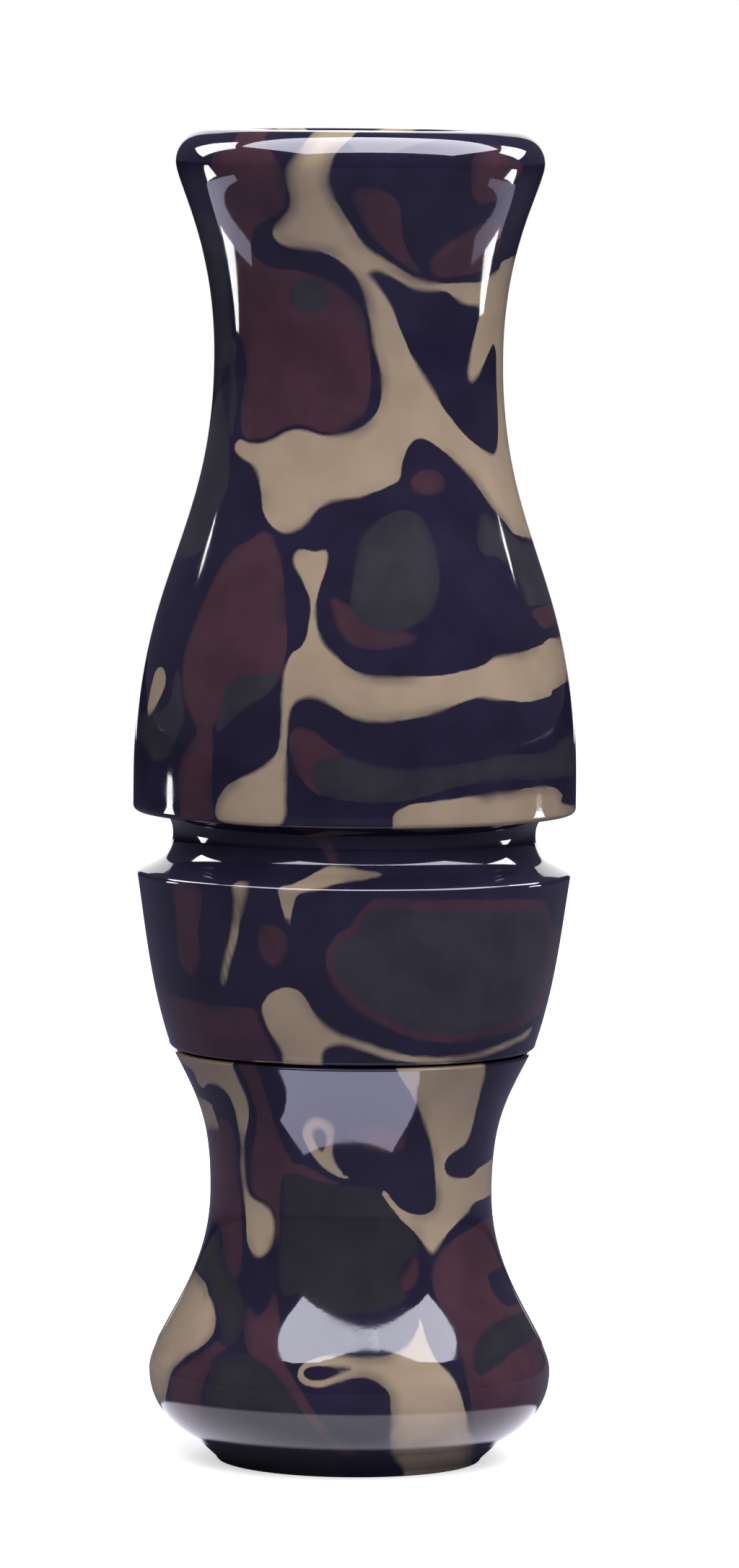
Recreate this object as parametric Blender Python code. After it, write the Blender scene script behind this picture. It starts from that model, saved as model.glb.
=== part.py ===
"""Duck call, standing on its bell. A turned acrylic barrel pulls off a turned acrylic insert, whose tenon
carries two seal rings and whose tone board carries two reeds held by a wedge cork.

Metres, +Z up. The origin is the middle of the foot, and +Z runs up the bore to the mouthpiece. The reeds lie on
the -Y side of the tone board."""

import math

import bmesh
import bpy
from mathutils import Vector
from mathutils.geometry import interpolate_bezier

MM = 0.001
SEGMENTS = 48
CURVE_STEPS = 9
ROUND_STEPS = 3
TIP_STEPS = 6
SHARP_ANGLE = math.radians(38)
MERGE_GAP = 0.001 * MM
ROUND_PULL = 0.55

# Driving dimensions: whole call
LENGTH = 108.4 * MM
JOINT_Z = 33.6 * MM
JOINT_GAP = 0.4 * MM
BORE_R = 8.0 * MM
RUNNING_GAP = 0.15 * MM

# Barrel: mouthpiece lip, neck, swell, lanyard groove and collar
LIP_R = 15.05 * MM
LIP_ROUND = 2.65 * MM
MOUTH_FLARE = 1.7 * MM
NECK_R = 11.8 * MM
NECK_Z = 90.0 * MM
SWELL_R = 18.0 * MM
SWELL_Z = 55.6 * MM
SWELL_ROUND = 0.75 * MM
GROOVE_TOP_Z = 53.4 * MM
GROOVE_R = 14.65 * MM
GROOVE_FLOOR_Z = 51.2 * MM
GROOVE_ROOT = 0.5 * MM
SHOULDER_R = 15.35 * MM
SHOULDER_Z = 49.7 * MM
COLLAR_R = 17.65 * MM
COLLAR_Z = 48.1 * MM
COLLAR_END_R = 14.95 * MM
EDGE_ROUND = 0.55 * MM
BORE_CHAMFER = 0.7 * MM
MOUTH_FLARE_DEPTH = 4.1 * MM

# How far each barrel curve holds its direction from its ends: straight, or (towards or off the axis, along it)
LIP_HOLD = 2.0 * MM
NECK_HOLD_UP = 9.3 * MM
NECK_HOLD_DOWN = 14.8 * MM
SWELL_HOLD = 17.2 * MM
COLLAR_HOLD = (0.7 * MM, 4.6 * MM)
COLLAR_END_HOLD = (1.55 * MM, 4.45 * MM)

# Insert: bell, exhaust bore and tenon
INSERT_R = 14.45 * MM
WAIST_R = 11.48 * MM
WAIST_Z = 22.0 * MM
BELL_R = 16.35 * MM
BELL_Z = 7.4 * MM
FOOT_LINE_R = 12.7 * MM
FOOT_LINE_Z = 2.0 * MM
FOOT_R = 10.85 * MM
FOOT_EDGE = 0.3 * MM
BELL_MOUTH_R = 8.4 * MM
EXHAUST_R = 4.5 * MM
EXHAUST_TAPER_Z = 24.0 * MM
EXHAUST_END_Z = 44.0 * MM
TENON_R = 7.6 * MM
TENON_TOP_Z = 54.0 * MM

# The same holds for the insert's curves
BELL_MOUTH_HOLD = (1.2 * MM, 4.0 * MM)
FOOT_LINE_HOLD = (2.2 * MM, 0.75 * MM)
BELL_HOLD_DOWN = 2.8 * MM
BELL_HOLD_UP = 2.9 * MM
WAIST_HOLD_DOWN = 6.7 * MM
WAIST_HOLD_UP = 5.5 * MM
INSERT_RIM_HOLD = (2.1 * MM, 4.0 * MM)

# Seal rings
RING_OUTER_R = BORE_R - RUNNING_GAP
RING_SECTION = 1.6 * MM
RING_SIDE_GAP = 0.2 * MM
RING_STEPS = 10
RING_HEIGHTS = {"lower_seal_ring": 37.8 * MM, "upper_seal_ring": 42.0 * MM}
RING_GROOVE_R = RING_OUTER_R - RING_SECTION - RUNNING_GAP

# Tone board: the face falls away from the reed root towards the tip
BOARD_R = 7.4 * MM
BOARD_TIP_Z = 96.0 * MM
BOARD_DOME = 7.0 * MM
REED_ROOT_Z = 46.9 * MM
FACE_FALL = math.radians(2.0)
TIP_FALL_START_Z = 86.0 * MM
TIP_FALL = 0.9 * MM
TIP_FALL_BEND_Z = 92.0 * MM
CHANNEL_HALF_WIDTH = 3.2 * MM
CHANNEL_FLOOR_Y = 3.7 * MM
CHANNEL_END_Z = 86.5 * MM
CHANNEL_ROUND = 1.9 * MM
PASSAGE_TOP_Y = 0.4 * MM
PASSAGE_LAP = 0.6 * MM

# Reeds and wedge cork
REED_THICKNESS = 0.3 * MM
REED_HALF_WIDTH = 6.3 * MM
REED_GAP = 0.1 * MM
REED_TIPS = {"lower_reed": 94.6 * MM, "upper_reed": 93.2 * MM}
REED_TIP_ROUND = 5.0 * MM
CORK_HALF_WIDTH = 6.0 * MM
CORK_TOP_Z = 56.4 * MM
CORK_THIN = 1.75 * MM
CORK_THICK = 3.95 * MM
CORK_EDGE = 0.35 * MM
NOTCH_ROOT_GAP = 0.3 * MM
CUT_MARGIN = 2.0 * MM

COLOURS = {
    "acrylic": (0.030, 0.024, 0.028, 1.0),
    "reed_film": (0.62, 0.60, 0.52, 1.0),
    "cork": (0.42, 0.26, 0.13, 1.0),
    "ring_rubber": (0.012, 0.012, 0.013, 1.0),
}
ROUGHNESS = {"acrylic": 0.06, "reed_film": 0.35, "cork": 0.9, "ring_rubber": 0.55}


def clear_scene():
    for obj in list(bpy.data.objects):
        bpy.data.objects.remove(obj)


def material(name):
    made = bpy.data.materials.new(name)
    made.use_nodes = True
    shader = made.node_tree.nodes["Principled BSDF"]
    shader.inputs["Base Color"].default_value = COLOURS[name]
    shader.inputs["Roughness"].default_value = ROUGHNESS[name]
    shader.inputs["Metallic"].default_value = 0.0
    return made


def solid(name, mesh, origin, finish=None):
    """An object from a bmesh drawn in the part's frame, with its own origin at the given point."""
    bmesh.ops.translate(mesh, verts=mesh.verts, vec=-Vector(origin))
    bmesh.ops.recalc_face_normals(mesh, faces=mesh.faces)
    data = bpy.data.meshes.new(name)
    mesh.to_mesh(data)
    mesh.free()
    data.shade_smooth()
    data.set_sharp_from_angle(angle=SHARP_ANGLE)
    obj = bpy.data.objects.new(name, data)
    obj.location = origin
    bpy.context.scene.collection.objects.link(obj)
    if finish:
        data.materials.append(finish)
    return obj


def bezier(start, start_handle, end_handle, end, steps=CURVE_STEPS):
    """Points (radius, height) along a curve, without the first one."""
    corners = [Vector((*p, 0)) for p in (start, start_handle, end_handle, end)]
    return [(p.x, p.y) for p in interpolate_bezier(*corners, steps + 1)[1:]]


def fillet(start, corner, end, steps=ROUND_STEPS):
    """Points that round a corner from start to end, without the first one."""
    handles = [Vector(p).lerp(Vector(corner), ROUND_PULL) for p in (start, end)]
    return bezier(start, handles[0], handles[1], end, steps)


def turned(name, section, origin_z, finish, closed):
    """A solid of revolution about Z. The section is (radius, height) points: a closed ring of them, or a line
    that starts and ends on the axis."""
    mesh = bmesh.new()
    points = [mesh.verts.new((radius, 0, height)) for radius, height in section]
    ends = points[1:] + points[:1] if closed else points[1:]
    edges = [mesh.edges.new(pair) for pair in zip(points, ends)]
    bmesh.ops.spin(
        mesh, geom=points + edges, axis=(0, 0, 1), cent=(0, 0, 0), angle=math.tau, steps=SEGMENTS, use_merge=True
    )
    bmesh.ops.remove_doubles(mesh, verts=mesh.verts, dist=MERGE_GAP)
    return solid(name, mesh, (0, 0, origin_z), finish)


def across(mesh, outline, half_width):
    """Extrudes a (y, z) outline along X, the same way to both sides."""
    face = mesh.faces.new([mesh.verts.new((-half_width, y, z)) for y, z in outline])
    made = bmesh.ops.extrude_face_region(mesh, geom=[face])
    moved = [item for item in made["geom"] if isinstance(item, bmesh.types.BMVert)]
    bmesh.ops.translate(mesh, verts=moved, vec=(2 * half_width, 0, 0))


def bevel_edges(mesh, chosen, width, steps):
    edges = [edge for edge in mesh.edges if chosen(edge)]
    bmesh.ops.bevel(mesh, geom=edges, offset=width, segments=steps, profile=0.5, affect="EDGES")


def cut(target, cutter):
    """Takes the cutter's shape out of the target."""
    cutter.hide_render = True
    cutter.display_type = "WIRE"
    cutter.parent = target.parent
    difference = target.modifiers.new(cutter.name, "BOOLEAN")
    difference.operation = "DIFFERENCE"
    difference.solver = "EXACT"
    difference.object = cutter


def face_y(height):
    """How far the tone board's face has fallen back at a height above the reed root."""
    return math.tan(FACE_FALL) * (height - REED_ROOT_Z)


def barrel_section():
    """The barrel's outer side from the lip down to the joint, then the bore back up to the mouth."""
    end_z = JOINT_Z + JOINT_GAP
    lip_z = LENGTH - LIP_ROUND
    mouth_r = BORE_R + MOUTH_FLARE
    lip = [(mouth_r, LENGTH), (LIP_R - LIP_ROUND, LENGTH)]
    lip += fillet(lip[-1], (LIP_R, LENGTH), (LIP_R, lip_z), CURVE_STEPS)
    neck = bezier(lip[-1], (LIP_R, lip_z - LIP_HOLD), (NECK_R, NECK_Z + NECK_HOLD_UP), (NECK_R, NECK_Z))
    swell = bezier(neck[-1], (NECK_R, NECK_Z - NECK_HOLD_DOWN), (SWELL_R, SWELL_Z + SWELL_HOLD), (SWELL_R, SWELL_Z))
    rim = [(SWELL_R, GROOVE_TOP_Z + SWELL_ROUND)]
    rim += fillet(rim[0], (SWELL_R, GROOVE_TOP_Z), (SWELL_R - SWELL_ROUND, GROOVE_TOP_Z))
    floor_top = (GROOVE_R, GROOVE_TOP_Z - GROOVE_ROOT)
    groove = [(GROOVE_R + GROOVE_ROOT, GROOVE_TOP_Z)]
    groove += fillet(groove[0], (GROOVE_R, GROOVE_TOP_Z), floor_top)
    groove += [(GROOVE_R, GROOVE_FLOOR_Z)]
    groove += fillet(groove[-1], (GROOVE_R, SHOULDER_Z), (SHOULDER_R, SHOULDER_Z), CURVE_STEPS // 2)
    collar = [(COLLAR_R, COLLAR_Z)]
    collar_foot = (COLLAR_END_R, end_z + EDGE_ROUND)
    leaving = (COLLAR_R - COLLAR_HOLD[0], COLLAR_Z - COLLAR_HOLD[1])
    arriving = (COLLAR_END_R + COLLAR_END_HOLD[0], collar_foot[1] + COLLAR_END_HOLD[1])
    collar += bezier(collar[0], leaving, arriving, collar_foot)
    collar += fillet(collar_foot, (COLLAR_END_R, end_z), (COLLAR_END_R - EDGE_ROUND, end_z))
    bore = [(BORE_R + BORE_CHAMFER, end_z), (BORE_R, end_z + BORE_CHAMFER), (BORE_R, LENGTH - MOUTH_FLARE_DEPTH)]
    mouth = fillet(bore[-1], (BORE_R, LENGTH), (mouth_r, LENGTH), CURVE_STEPS // 2)[:-1]
    return lip + neck + swell + rim + groove + collar + bore + mouth


def insert_section():
    """The insert from the end of its exhaust bore, round the bell, up the tenon and over the tone board's tip."""
    exhaust = [(0, EXHAUST_END_Z + EXHAUST_R / 2), (EXHAUST_R, EXHAUST_END_Z), (EXHAUST_R, EXHAUST_TAPER_Z)]
    leaving, arriving = (EXHAUST_R, EXHAUST_TAPER_Z / 2), (BELL_MOUTH_R - BELL_MOUTH_HOLD[0], BELL_MOUTH_HOLD[1])
    exhaust += bezier(exhaust[-1], leaving, arriving, (BELL_MOUTH_R, 0), CURVE_STEPS // 2)
    foot = [(FOOT_R - FOOT_EDGE, 0), (FOOT_R, FOOT_EDGE), (FOOT_LINE_R, FOOT_LINE_Z)]
    leaving = (FOOT_LINE_R + FOOT_LINE_HOLD[0], FOOT_LINE_Z + FOOT_LINE_HOLD[1])
    bell = bezier(foot[-1], leaving, (BELL_R, BELL_Z - BELL_HOLD_DOWN), (BELL_R, BELL_Z))
    waist = bezier(bell[-1], (BELL_R, BELL_Z + BELL_HOLD_UP), (WAIST_R, WAIST_Z - WAIST_HOLD_DOWN), (WAIST_R, WAIST_Z))
    rim_z = JOINT_Z - EDGE_ROUND / 2
    arriving = (INSERT_R - INSERT_RIM_HOLD[0], rim_z - INSERT_RIM_HOLD[1])
    waist += bezier(waist[-1], (WAIST_R, WAIST_Z + WAIST_HOLD_UP), arriving, (INSERT_R, rim_z))
    shoulder = [(INSERT_R - EDGE_ROUND / 2, JOINT_Z), (TENON_R, JOINT_Z)]
    tenon = []
    groove_half_width = RING_SECTION / 2 + RING_SIDE_GAP
    for height in RING_HEIGHTS.values():
        low, high = height - groove_half_width, height + groove_half_width
        tenon += [(TENON_R, low), (RING_GROOVE_R, low), (RING_GROOVE_R, high), (TENON_R, high)]
    tenon += [(TENON_R, TENON_TOP_Z), (BOARD_R, TENON_TOP_Z)]
    dome_z = BOARD_TIP_Z - BOARD_DOME
    board = [(BOARD_R, dome_z)] + fillet((BOARD_R, dome_z), (BOARD_R, BOARD_TIP_Z), (0, BOARD_TIP_Z), TIP_STEPS)
    return exhaust + foot + bell + waist + shoulder + tenon + board


def cork_side_y(height):
    """The slanted side of the wedge cork, which is thin at the reed root and thick at its top."""
    share = (height - REED_ROOT_Z) / (CORK_TOP_Z - REED_ROOT_Z)
    return cork_face_y() - CORK_THIN - share * (CORK_THICK - CORK_THIN)


def cork_face_y():
    """The flat side of the wedge cork, just off the upper reed."""
    return -2 * (REED_THICKNESS + REED_GAP) - REED_GAP


def reed_side_cutter():
    """Everything off the tone board's face on the reed side, with the notch that the wedge cork is pushed into."""
    notch_root_z = REED_ROOT_Z - NOTCH_ROOT_GAP
    far_y, far_z = -BORE_R - CUT_MARGIN, BOARD_TIP_Z + CUT_MARGIN
    face_tip = (face_y(BOARD_TIP_Z) + TIP_FALL, BOARD_TIP_Z)
    face = [(face_y(notch_root_z), notch_root_z), (face_y(TIP_FALL_START_Z), TIP_FALL_START_Z)]
    face += fillet(face[-1], (face_y(TIP_FALL_BEND_Z), TIP_FALL_BEND_Z), face_tip)
    above = [(face_tip[0], far_z), (far_y, far_z), (far_y, TENON_TOP_Z)]
    notch = [(cork_side_y(z) - RUNNING_GAP, z) for z in (TENON_TOP_Z, notch_root_z)]
    mesh = bmesh.new()
    across(mesh, face + above + notch, BORE_R + CUT_MARGIN)
    return solid("reed_side_cutter", mesh, (0, 0, 0))


def channel_cutter():
    """The round-floored tone channel under the reeds, and the passage that leads it into the exhaust bore."""
    passage_z, step_z = EXHAUST_END_Z - CUT_MARGIN, REED_ROOT_Z + PASSAGE_LAP
    outline = [
        (PASSAGE_TOP_Y, passage_z),
        (CHANNEL_FLOOR_Y, passage_z),
        (CHANNEL_FLOOR_Y, CHANNEL_END_Z),
        (-CUT_MARGIN, CHANNEL_END_Z),
        (-CUT_MARGIN, step_z),
        (PASSAGE_TOP_Y, step_z),
    ]
    mesh = bmesh.new()
    across(mesh, outline, CHANNEL_HALF_WIDTH)

    def on_floor_or_end(edge):
        a, b = (v.co for v in edge.verts)
        middle = (a + b) / 2
        at_side = abs(abs(middle.x) - CHANNEL_HALF_WIDTH) < MERGE_GAP
        on_floor = abs(a.y - CHANNEL_FLOOR_Y) + abs(b.y - CHANNEL_FLOOR_Y) < MERGE_GAP
        on_end = abs(a.z - CHANNEL_END_Z) + abs(b.z - CHANNEL_END_Z) < MERGE_GAP
        return at_side and (on_floor or on_end)

    bevel_edges(mesh, on_floor_or_end, CHANNEL_ROUND, ROUND_STEPS)
    return solid("channel_cutter", mesh, (0, 0, 0))


def make_reed(name, layer, finish):
    """A flat reed with a rounded tip, whose origin is the line at its root that it flexes about."""
    tip_z = REED_TIPS[name]
    near_y = -REED_GAP - layer * (REED_THICKNESS + REED_GAP)
    side_z = tip_z - REED_TIP_ROUND
    right = (REED_HALF_WIDTH, side_z)
    tip = fillet(right, (REED_HALF_WIDTH, tip_z), (0, tip_z), TIP_STEPS)
    half = [(REED_HALF_WIDTH, REED_ROOT_Z), right] + tip
    outline = half + [(-x, z) for x, z in reversed(half[:-1])]
    mesh = bmesh.new()
    face = mesh.faces.new([mesh.verts.new((x, near_y, z)) for x, z in outline])
    made = bmesh.ops.extrude_face_region(mesh, geom=[face])
    moved = [item for item in made["geom"] if isinstance(item, bmesh.types.BMVert)]
    bmesh.ops.translate(mesh, verts=moved, vec=(0, -REED_THICKNESS, 0))
    return solid(name, mesh, (0, near_y, REED_ROOT_Z), finish)


def make_cork(finish):
    """The wedge cork that clamps the reeds, with softened edges."""
    outline = [
        (cork_face_y(), REED_ROOT_Z),
        (cork_face_y(), CORK_TOP_Z),
        (cork_side_y(CORK_TOP_Z), CORK_TOP_Z),
        (cork_side_y(REED_ROOT_Z), REED_ROOT_Z),
    ]
    mesh = bmesh.new()
    across(mesh, outline, CORK_HALF_WIDTH)
    bevel_edges(mesh, lambda edge: True, CORK_EDGE, 2)
    return solid("wedge_cork", mesh, (0, cork_face_y(), REED_ROOT_Z), finish)


def make_ring(name, finish):
    middle_r, section_r = RING_OUTER_R - RING_SECTION / 2, RING_SECTION / 2
    turns = [math.tau * step / RING_STEPS for step in range(RING_STEPS)]
    section = [(middle_r + section_r * math.cos(a), RING_HEIGHTS[name] + section_r * math.sin(a)) for a in turns]
    return turned(name, section, RING_HEIGHTS[name], finish, closed=True)


def main():
    clear_scene()
    acrylic, film, cork, rubber = (material(name) for name in COLOURS)
    insert = turned("insert", insert_section(), 0, acrylic, closed=False)
    pieces = [
        insert,
        turned("barrel", barrel_section(), JOINT_Z + JOINT_GAP, acrylic, closed=True),
        make_reed("lower_reed", 0, film),
        make_reed("upper_reed", 1, film),
        make_cork(cork),
    ]
    pieces += [make_ring(name, rubber) for name in RING_HEIGHTS]
    frame = bpy.data.objects.new("duck_call", None)
    bpy.context.scene.collection.objects.link(frame)
    for piece in pieces:
        piece.parent = frame
    cut(insert, reed_side_cutter())
    cut(insert, channel_cutter())


main()
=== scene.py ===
"""Looks for the duck call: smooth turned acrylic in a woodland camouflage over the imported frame, with
finished reeds, cork and seal rings inside. The stage is a pale floor under soft studio light, seen as in
the photograph."""

import math

import bmesh
import bpy
import numpy as np
from mathutils import Matrix, Quaternion, Vector, noise
from mathutils.geometry import interpolate_bezier


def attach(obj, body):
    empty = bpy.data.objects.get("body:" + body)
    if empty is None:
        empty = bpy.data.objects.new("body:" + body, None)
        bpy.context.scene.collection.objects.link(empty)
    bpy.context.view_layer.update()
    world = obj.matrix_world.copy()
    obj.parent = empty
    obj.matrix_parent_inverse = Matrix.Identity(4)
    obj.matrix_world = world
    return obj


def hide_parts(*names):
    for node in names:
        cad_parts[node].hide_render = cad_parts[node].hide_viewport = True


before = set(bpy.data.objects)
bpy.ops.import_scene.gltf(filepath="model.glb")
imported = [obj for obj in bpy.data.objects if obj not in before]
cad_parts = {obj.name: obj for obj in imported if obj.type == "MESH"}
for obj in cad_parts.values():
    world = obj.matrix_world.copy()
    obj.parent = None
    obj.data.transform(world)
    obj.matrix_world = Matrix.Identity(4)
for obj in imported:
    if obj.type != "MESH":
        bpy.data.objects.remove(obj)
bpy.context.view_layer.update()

MM = 0.001
SEGMENTS = 256
SHARP_ANGLE, NO_SHARP_EDGE = math.radians(32), math.pi

# The turned shapes, in millimetres. They are those of the CAD, but for small differences at the lanyard
# groove and for a fine line round the bell.
LENGTH = 108.4
JOINT_Z = 33.6
BARREL_END_Z = 33.78
BORE_R, BORE_CHAMFER = 8.0, 0.7
LIP_R, LIP_ROUND = 15.05, 2.65
MOUTH_R, MOUTH_DEPTH = 9.7, 4.1
NECK_R, NECK_Z = 11.8, 90.0
SWELL_R, SWELL_Z, SWELL_ROUND = 18.0, 55.6, 0.45
GROOVE_R, GROOVE_TOP_Z, GROOVE_CEILING_R = 14.75, 53.1, 16.1
GROOVE_WALL_Z = (51.35, 51.1)
SHOULDER_R, SHOULDER_Z, SHOULDER_SLOPE = 15.75, 49.18, 0.515
COLLAR_R, COLLAR_Z, COLLAR_END_R = 17.65, 48.2, 14.95
COLLAR_EDGE_TOP, COLLAR_EDGE_SIDE = (0.2, 0.1), (0.03, 0.2)
EDGE_ROUND = 0.55
INSERT_R, INSERT_ROUND = 14.45, EDGE_ROUND / 2
WAIST_R, WAIST_Z = 11.48, 22.0
BELL_R, BELL_Z = 16.35, 7.4
BELL_LINE_R, BELL_LINE_Z = 15.7, 9.73
FOOT_LINE_R, FOOT_LINE_Z = 12.7, 2.0
FOOT_R, FOOT_ROUND, FOOT_LEAN = 10.85, 0.3, 0.05
BELL_MOUTH_R = 8.4
EXHAUST_R, EXHAUST_TAPER_Z, EXHAUST_END_Z = 4.5, 24.0, 44.0
TENON_R, TENON_TOP_Z = 7.6, 54.0
RING_R, RING_SECTION, RING_GROOVE_R, RING_SIDE_GAP = 7.05, 1.6, 6.1, 0.2
RING_HEIGHTS = {"lower_seal_ring": 37.8, "upper_seal_ring": 42.0}
BOARD_R, BOARD_TIP_Z, BOARD_DOME = 7.4, 96.0, 7.0

# Within these millimetres a point counts as on a face, at the joint, or inside the wall
NEAR, JOINT_MARGIN, WALL_MARGIN = 0.01, 0.05, 0.7
# Stands in for a length of nothing in a division
TINY = 1e-9

# How far the outlines' curves lean on their handles at each of these places, in millimetres. The collar's
# end has its handle's own place, and a rounded corner has a share of the way to it.
LIP_HOLD = 2.0
NECK_HOLD_UP, NECK_HOLD_DOWN = 9.3, 14.8
SWELL_HOLD = 17.2
COLLAR_HOLD, COLLAR_END_HANDLE = (0.7, 4.6), (16.5, 39.0)
INSERT_HOLD = (2.1, 4.0)
WAIST_HOLD_UP, WAIST_HOLD_DOWN = 5.5, 5.6
BELL_LINE_HOLD_UP, BELL_LINE_HOLD_DOWN = (1.55, 3.2), (0.22, 0.8)
BELL_HOLD_UP, BELL_HOLD_DOWN = 0.9, 2.8
FOOT_LINE_HOLD = (1.9, 1.0)
BELL_MOUTH_HOLD = (1.2, 4.0)
CORNER_HOLD = 0.55


def bezier(start, start_handle, end_handle, end, steps):
    """Points along a curve in the (radius, height) plane, without the first one."""
    corners = [Vector((*p, 0)) for p in (start, start_handle, end_handle, end)]
    return [(p.x, p.y) for p in interpolate_bezier(*corners, steps + 1)[1:]]


def fillet(start, corner, end, steps):
    """Points that round a corner, without the first one."""
    handles = [Vector(p).lerp(Vector(corner), CORNER_HOLD) for p in (start, end)]
    return bezier(start, handles[0], handles[1], end, steps)


def straight(start, end, steps):
    """Points along a line, without the first one."""
    return [tuple(Vector(start).lerp(Vector(end), step / steps)) for step in range(1, steps + 1)]


def barrel_outside():
    """From the inner edge of the lip, over it and down to the joint."""
    lip_z = LENGTH - LIP_ROUND
    line = [(LIP_R - LIP_ROUND, LENGTH)]
    line += fillet(line[-1], (LIP_R, LENGTH), (LIP_R, lip_z), 16)
    neck, swell = (NECK_R, NECK_Z), (SWELL_R, SWELL_Z)
    line += bezier(line[-1], (LIP_R, lip_z - LIP_HOLD), (NECK_R, NECK_Z + NECK_HOLD_UP), neck, 44)
    line += bezier(neck, (NECK_R, NECK_Z - NECK_HOLD_DOWN), (SWELL_R, SWELL_Z + SWELL_HOLD), swell, 90)
    line += straight(line[-1], (SWELL_R, GROOVE_TOP_Z + SWELL_ROUND), 4)
    line += fillet(line[-1], (SWELL_R, GROOVE_TOP_Z), (SWELL_R - SWELL_ROUND, GROOVE_TOP_Z), 6)
    line += straight(line[-1], (GROOVE_CEILING_R, GROOVE_TOP_Z), 3)
    line += fillet(line[-1], (GROOVE_R, GROOVE_TOP_Z), (GROOVE_R, GROOVE_WALL_Z[0]), 10)
    line += straight(line[-1], (GROOVE_R, GROOVE_WALL_Z[1]), 2)
    groove_floor = (GROOVE_R, SHOULDER_Z + SHOULDER_SLOPE * (SHOULDER_R - GROOVE_R))
    line += fillet(line[-1], groove_floor, (SHOULDER_R, SHOULDER_Z), 12)
    edge_top = (COLLAR_R - COLLAR_EDGE_TOP[0], COLLAR_Z + COLLAR_EDGE_TOP[1])
    edge_side = (COLLAR_R - COLLAR_EDGE_SIDE[0], COLLAR_Z - COLLAR_EDGE_SIDE[1])
    line += straight(line[-1], edge_top, 4)
    line += fillet(line[-1], (COLLAR_R, COLLAR_Z), edge_side, 4)
    leaving = (COLLAR_R - COLLAR_HOLD[0], COLLAR_Z - COLLAR_HOLD[1])
    collar_end = (COLLAR_END_R, BARREL_END_Z + EDGE_ROUND)
    line += bezier(line[-1], leaving, COLLAR_END_HANDLE, collar_end, 54)
    line += fillet(line[-1], (COLLAR_END_R, BARREL_END_Z), (COLLAR_END_R - EDGE_ROUND, BARREL_END_Z), 6)
    return line


def barrel_inside():
    """From the joint face up the bore to the mouth, and back out to the lip."""
    line = straight((COLLAR_END_R - EDGE_ROUND, BARREL_END_Z), (BORE_R + BORE_CHAMFER, BARREL_END_Z), 8)
    line += straight(line[-1], (BORE_R, BARREL_END_Z + BORE_CHAMFER), 2)
    line += straight(line[-1], (BORE_R, LENGTH - MOUTH_DEPTH), 48)
    line += fillet(line[-1], (BORE_R, LENGTH), (MOUTH_R, LENGTH), 10)
    return line + straight(line[-1], (LIP_R - LIP_ROUND, LENGTH), 4)[:-1]


def insert_outside():
    """From the joint down round the bell to the foot."""
    rim_z = JOINT_Z - INSERT_ROUND
    line = [(INSERT_R - INSERT_ROUND, JOINT_Z)]
    line += fillet(line[-1], (INSERT_R, JOINT_Z), (INSERT_R, rim_z), 4)
    waist, bell_line = (WAIST_R, WAIST_Z), (BELL_LINE_R, BELL_LINE_Z)
    bell, foot_line = (BELL_R, BELL_Z), (FOOT_LINE_R, FOOT_LINE_Z)
    leaving = (INSERT_R - INSERT_HOLD[0], rim_z - INSERT_HOLD[1])
    line += bezier(line[-1], leaving, (WAIST_R, WAIST_Z + WAIST_HOLD_UP), waist, 30)
    arriving = (BELL_LINE_R - BELL_LINE_HOLD_UP[0], BELL_LINE_Z + BELL_LINE_HOLD_UP[1])
    line += bezier(waist, (WAIST_R, WAIST_Z - WAIST_HOLD_DOWN), arriving, bell_line, 36)
    leaving = (BELL_LINE_R + BELL_LINE_HOLD_DOWN[0], BELL_LINE_Z - BELL_LINE_HOLD_DOWN[1])
    line += bezier(bell_line, leaving, (BELL_R, BELL_Z + BELL_HOLD_UP), bell, 10)
    arriving = (FOOT_LINE_R + FOOT_LINE_HOLD[0], FOOT_LINE_Z + FOOT_LINE_HOLD[1])
    line += bezier(bell, (BELL_R, BELL_Z - BELL_HOLD_DOWN), arriving, foot_line, 22)
    line += straight(line[-1], (FOOT_R, FOOT_ROUND), 7)
    return line + fillet(line[-1], (FOOT_R - FOOT_LEAN, 0), (FOOT_R - FOOT_ROUND, 0), 3)


def insert_inside():
    """From the foot into the bell's mouth and up the exhaust bore to its end on the axis."""
    line = straight((FOOT_R - FOOT_ROUND, 0), (BELL_MOUTH_R, 0), 4)
    leaving = (BELL_MOUTH_R - BELL_MOUTH_HOLD[0], BELL_MOUTH_HOLD[1])
    line += bezier(line[-1], leaving, (EXHAUST_R, EXHAUST_TAPER_Z / 2), (EXHAUST_R, EXHAUST_TAPER_Z), 26)
    line += straight(line[-1], (EXHAUST_R, EXHAUST_END_Z), 16)
    return line + straight(line[-1], (0, EXHAUST_END_Z + EXHAUST_R / 2), 3)


def tenon_and_board():
    """From the tip of the tone board's rod on the axis down the tenon to the insert's shoulder."""
    dome_z = BOARD_TIP_Z - BOARD_DOME
    line = [(0, BOARD_TIP_Z)]
    line += fillet(line[-1], (BOARD_R, BOARD_TIP_Z), (BOARD_R, dome_z), 14)
    line += straight(line[-1], (BOARD_R, TENON_TOP_Z), 36)
    line += straight(line[-1], (TENON_R, TENON_TOP_Z), 1)
    for height in sorted(RING_HEIGHTS.values(), reverse=True):
        high = height + RING_SECTION / 2 + RING_SIDE_GAP
        low = height - RING_SECTION / 2 - RING_SIDE_GAP
        line += straight(line[-1], (TENON_R, high), max(2, round(line[-1][1] - high)))
        line += straight(line[-1], (RING_GROOVE_R, high), 3)
        line += straight(line[-1], (RING_GROOVE_R, low), 3)
        line += straight(line[-1], (TENON_R, low), 3)
    line += straight(line[-1], (TENON_R, JOINT_Z), 3)
    return line + straight(line[-1], (INSERT_R - INSERT_ROUND, JOINT_Z), 7)[:-1]


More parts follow.
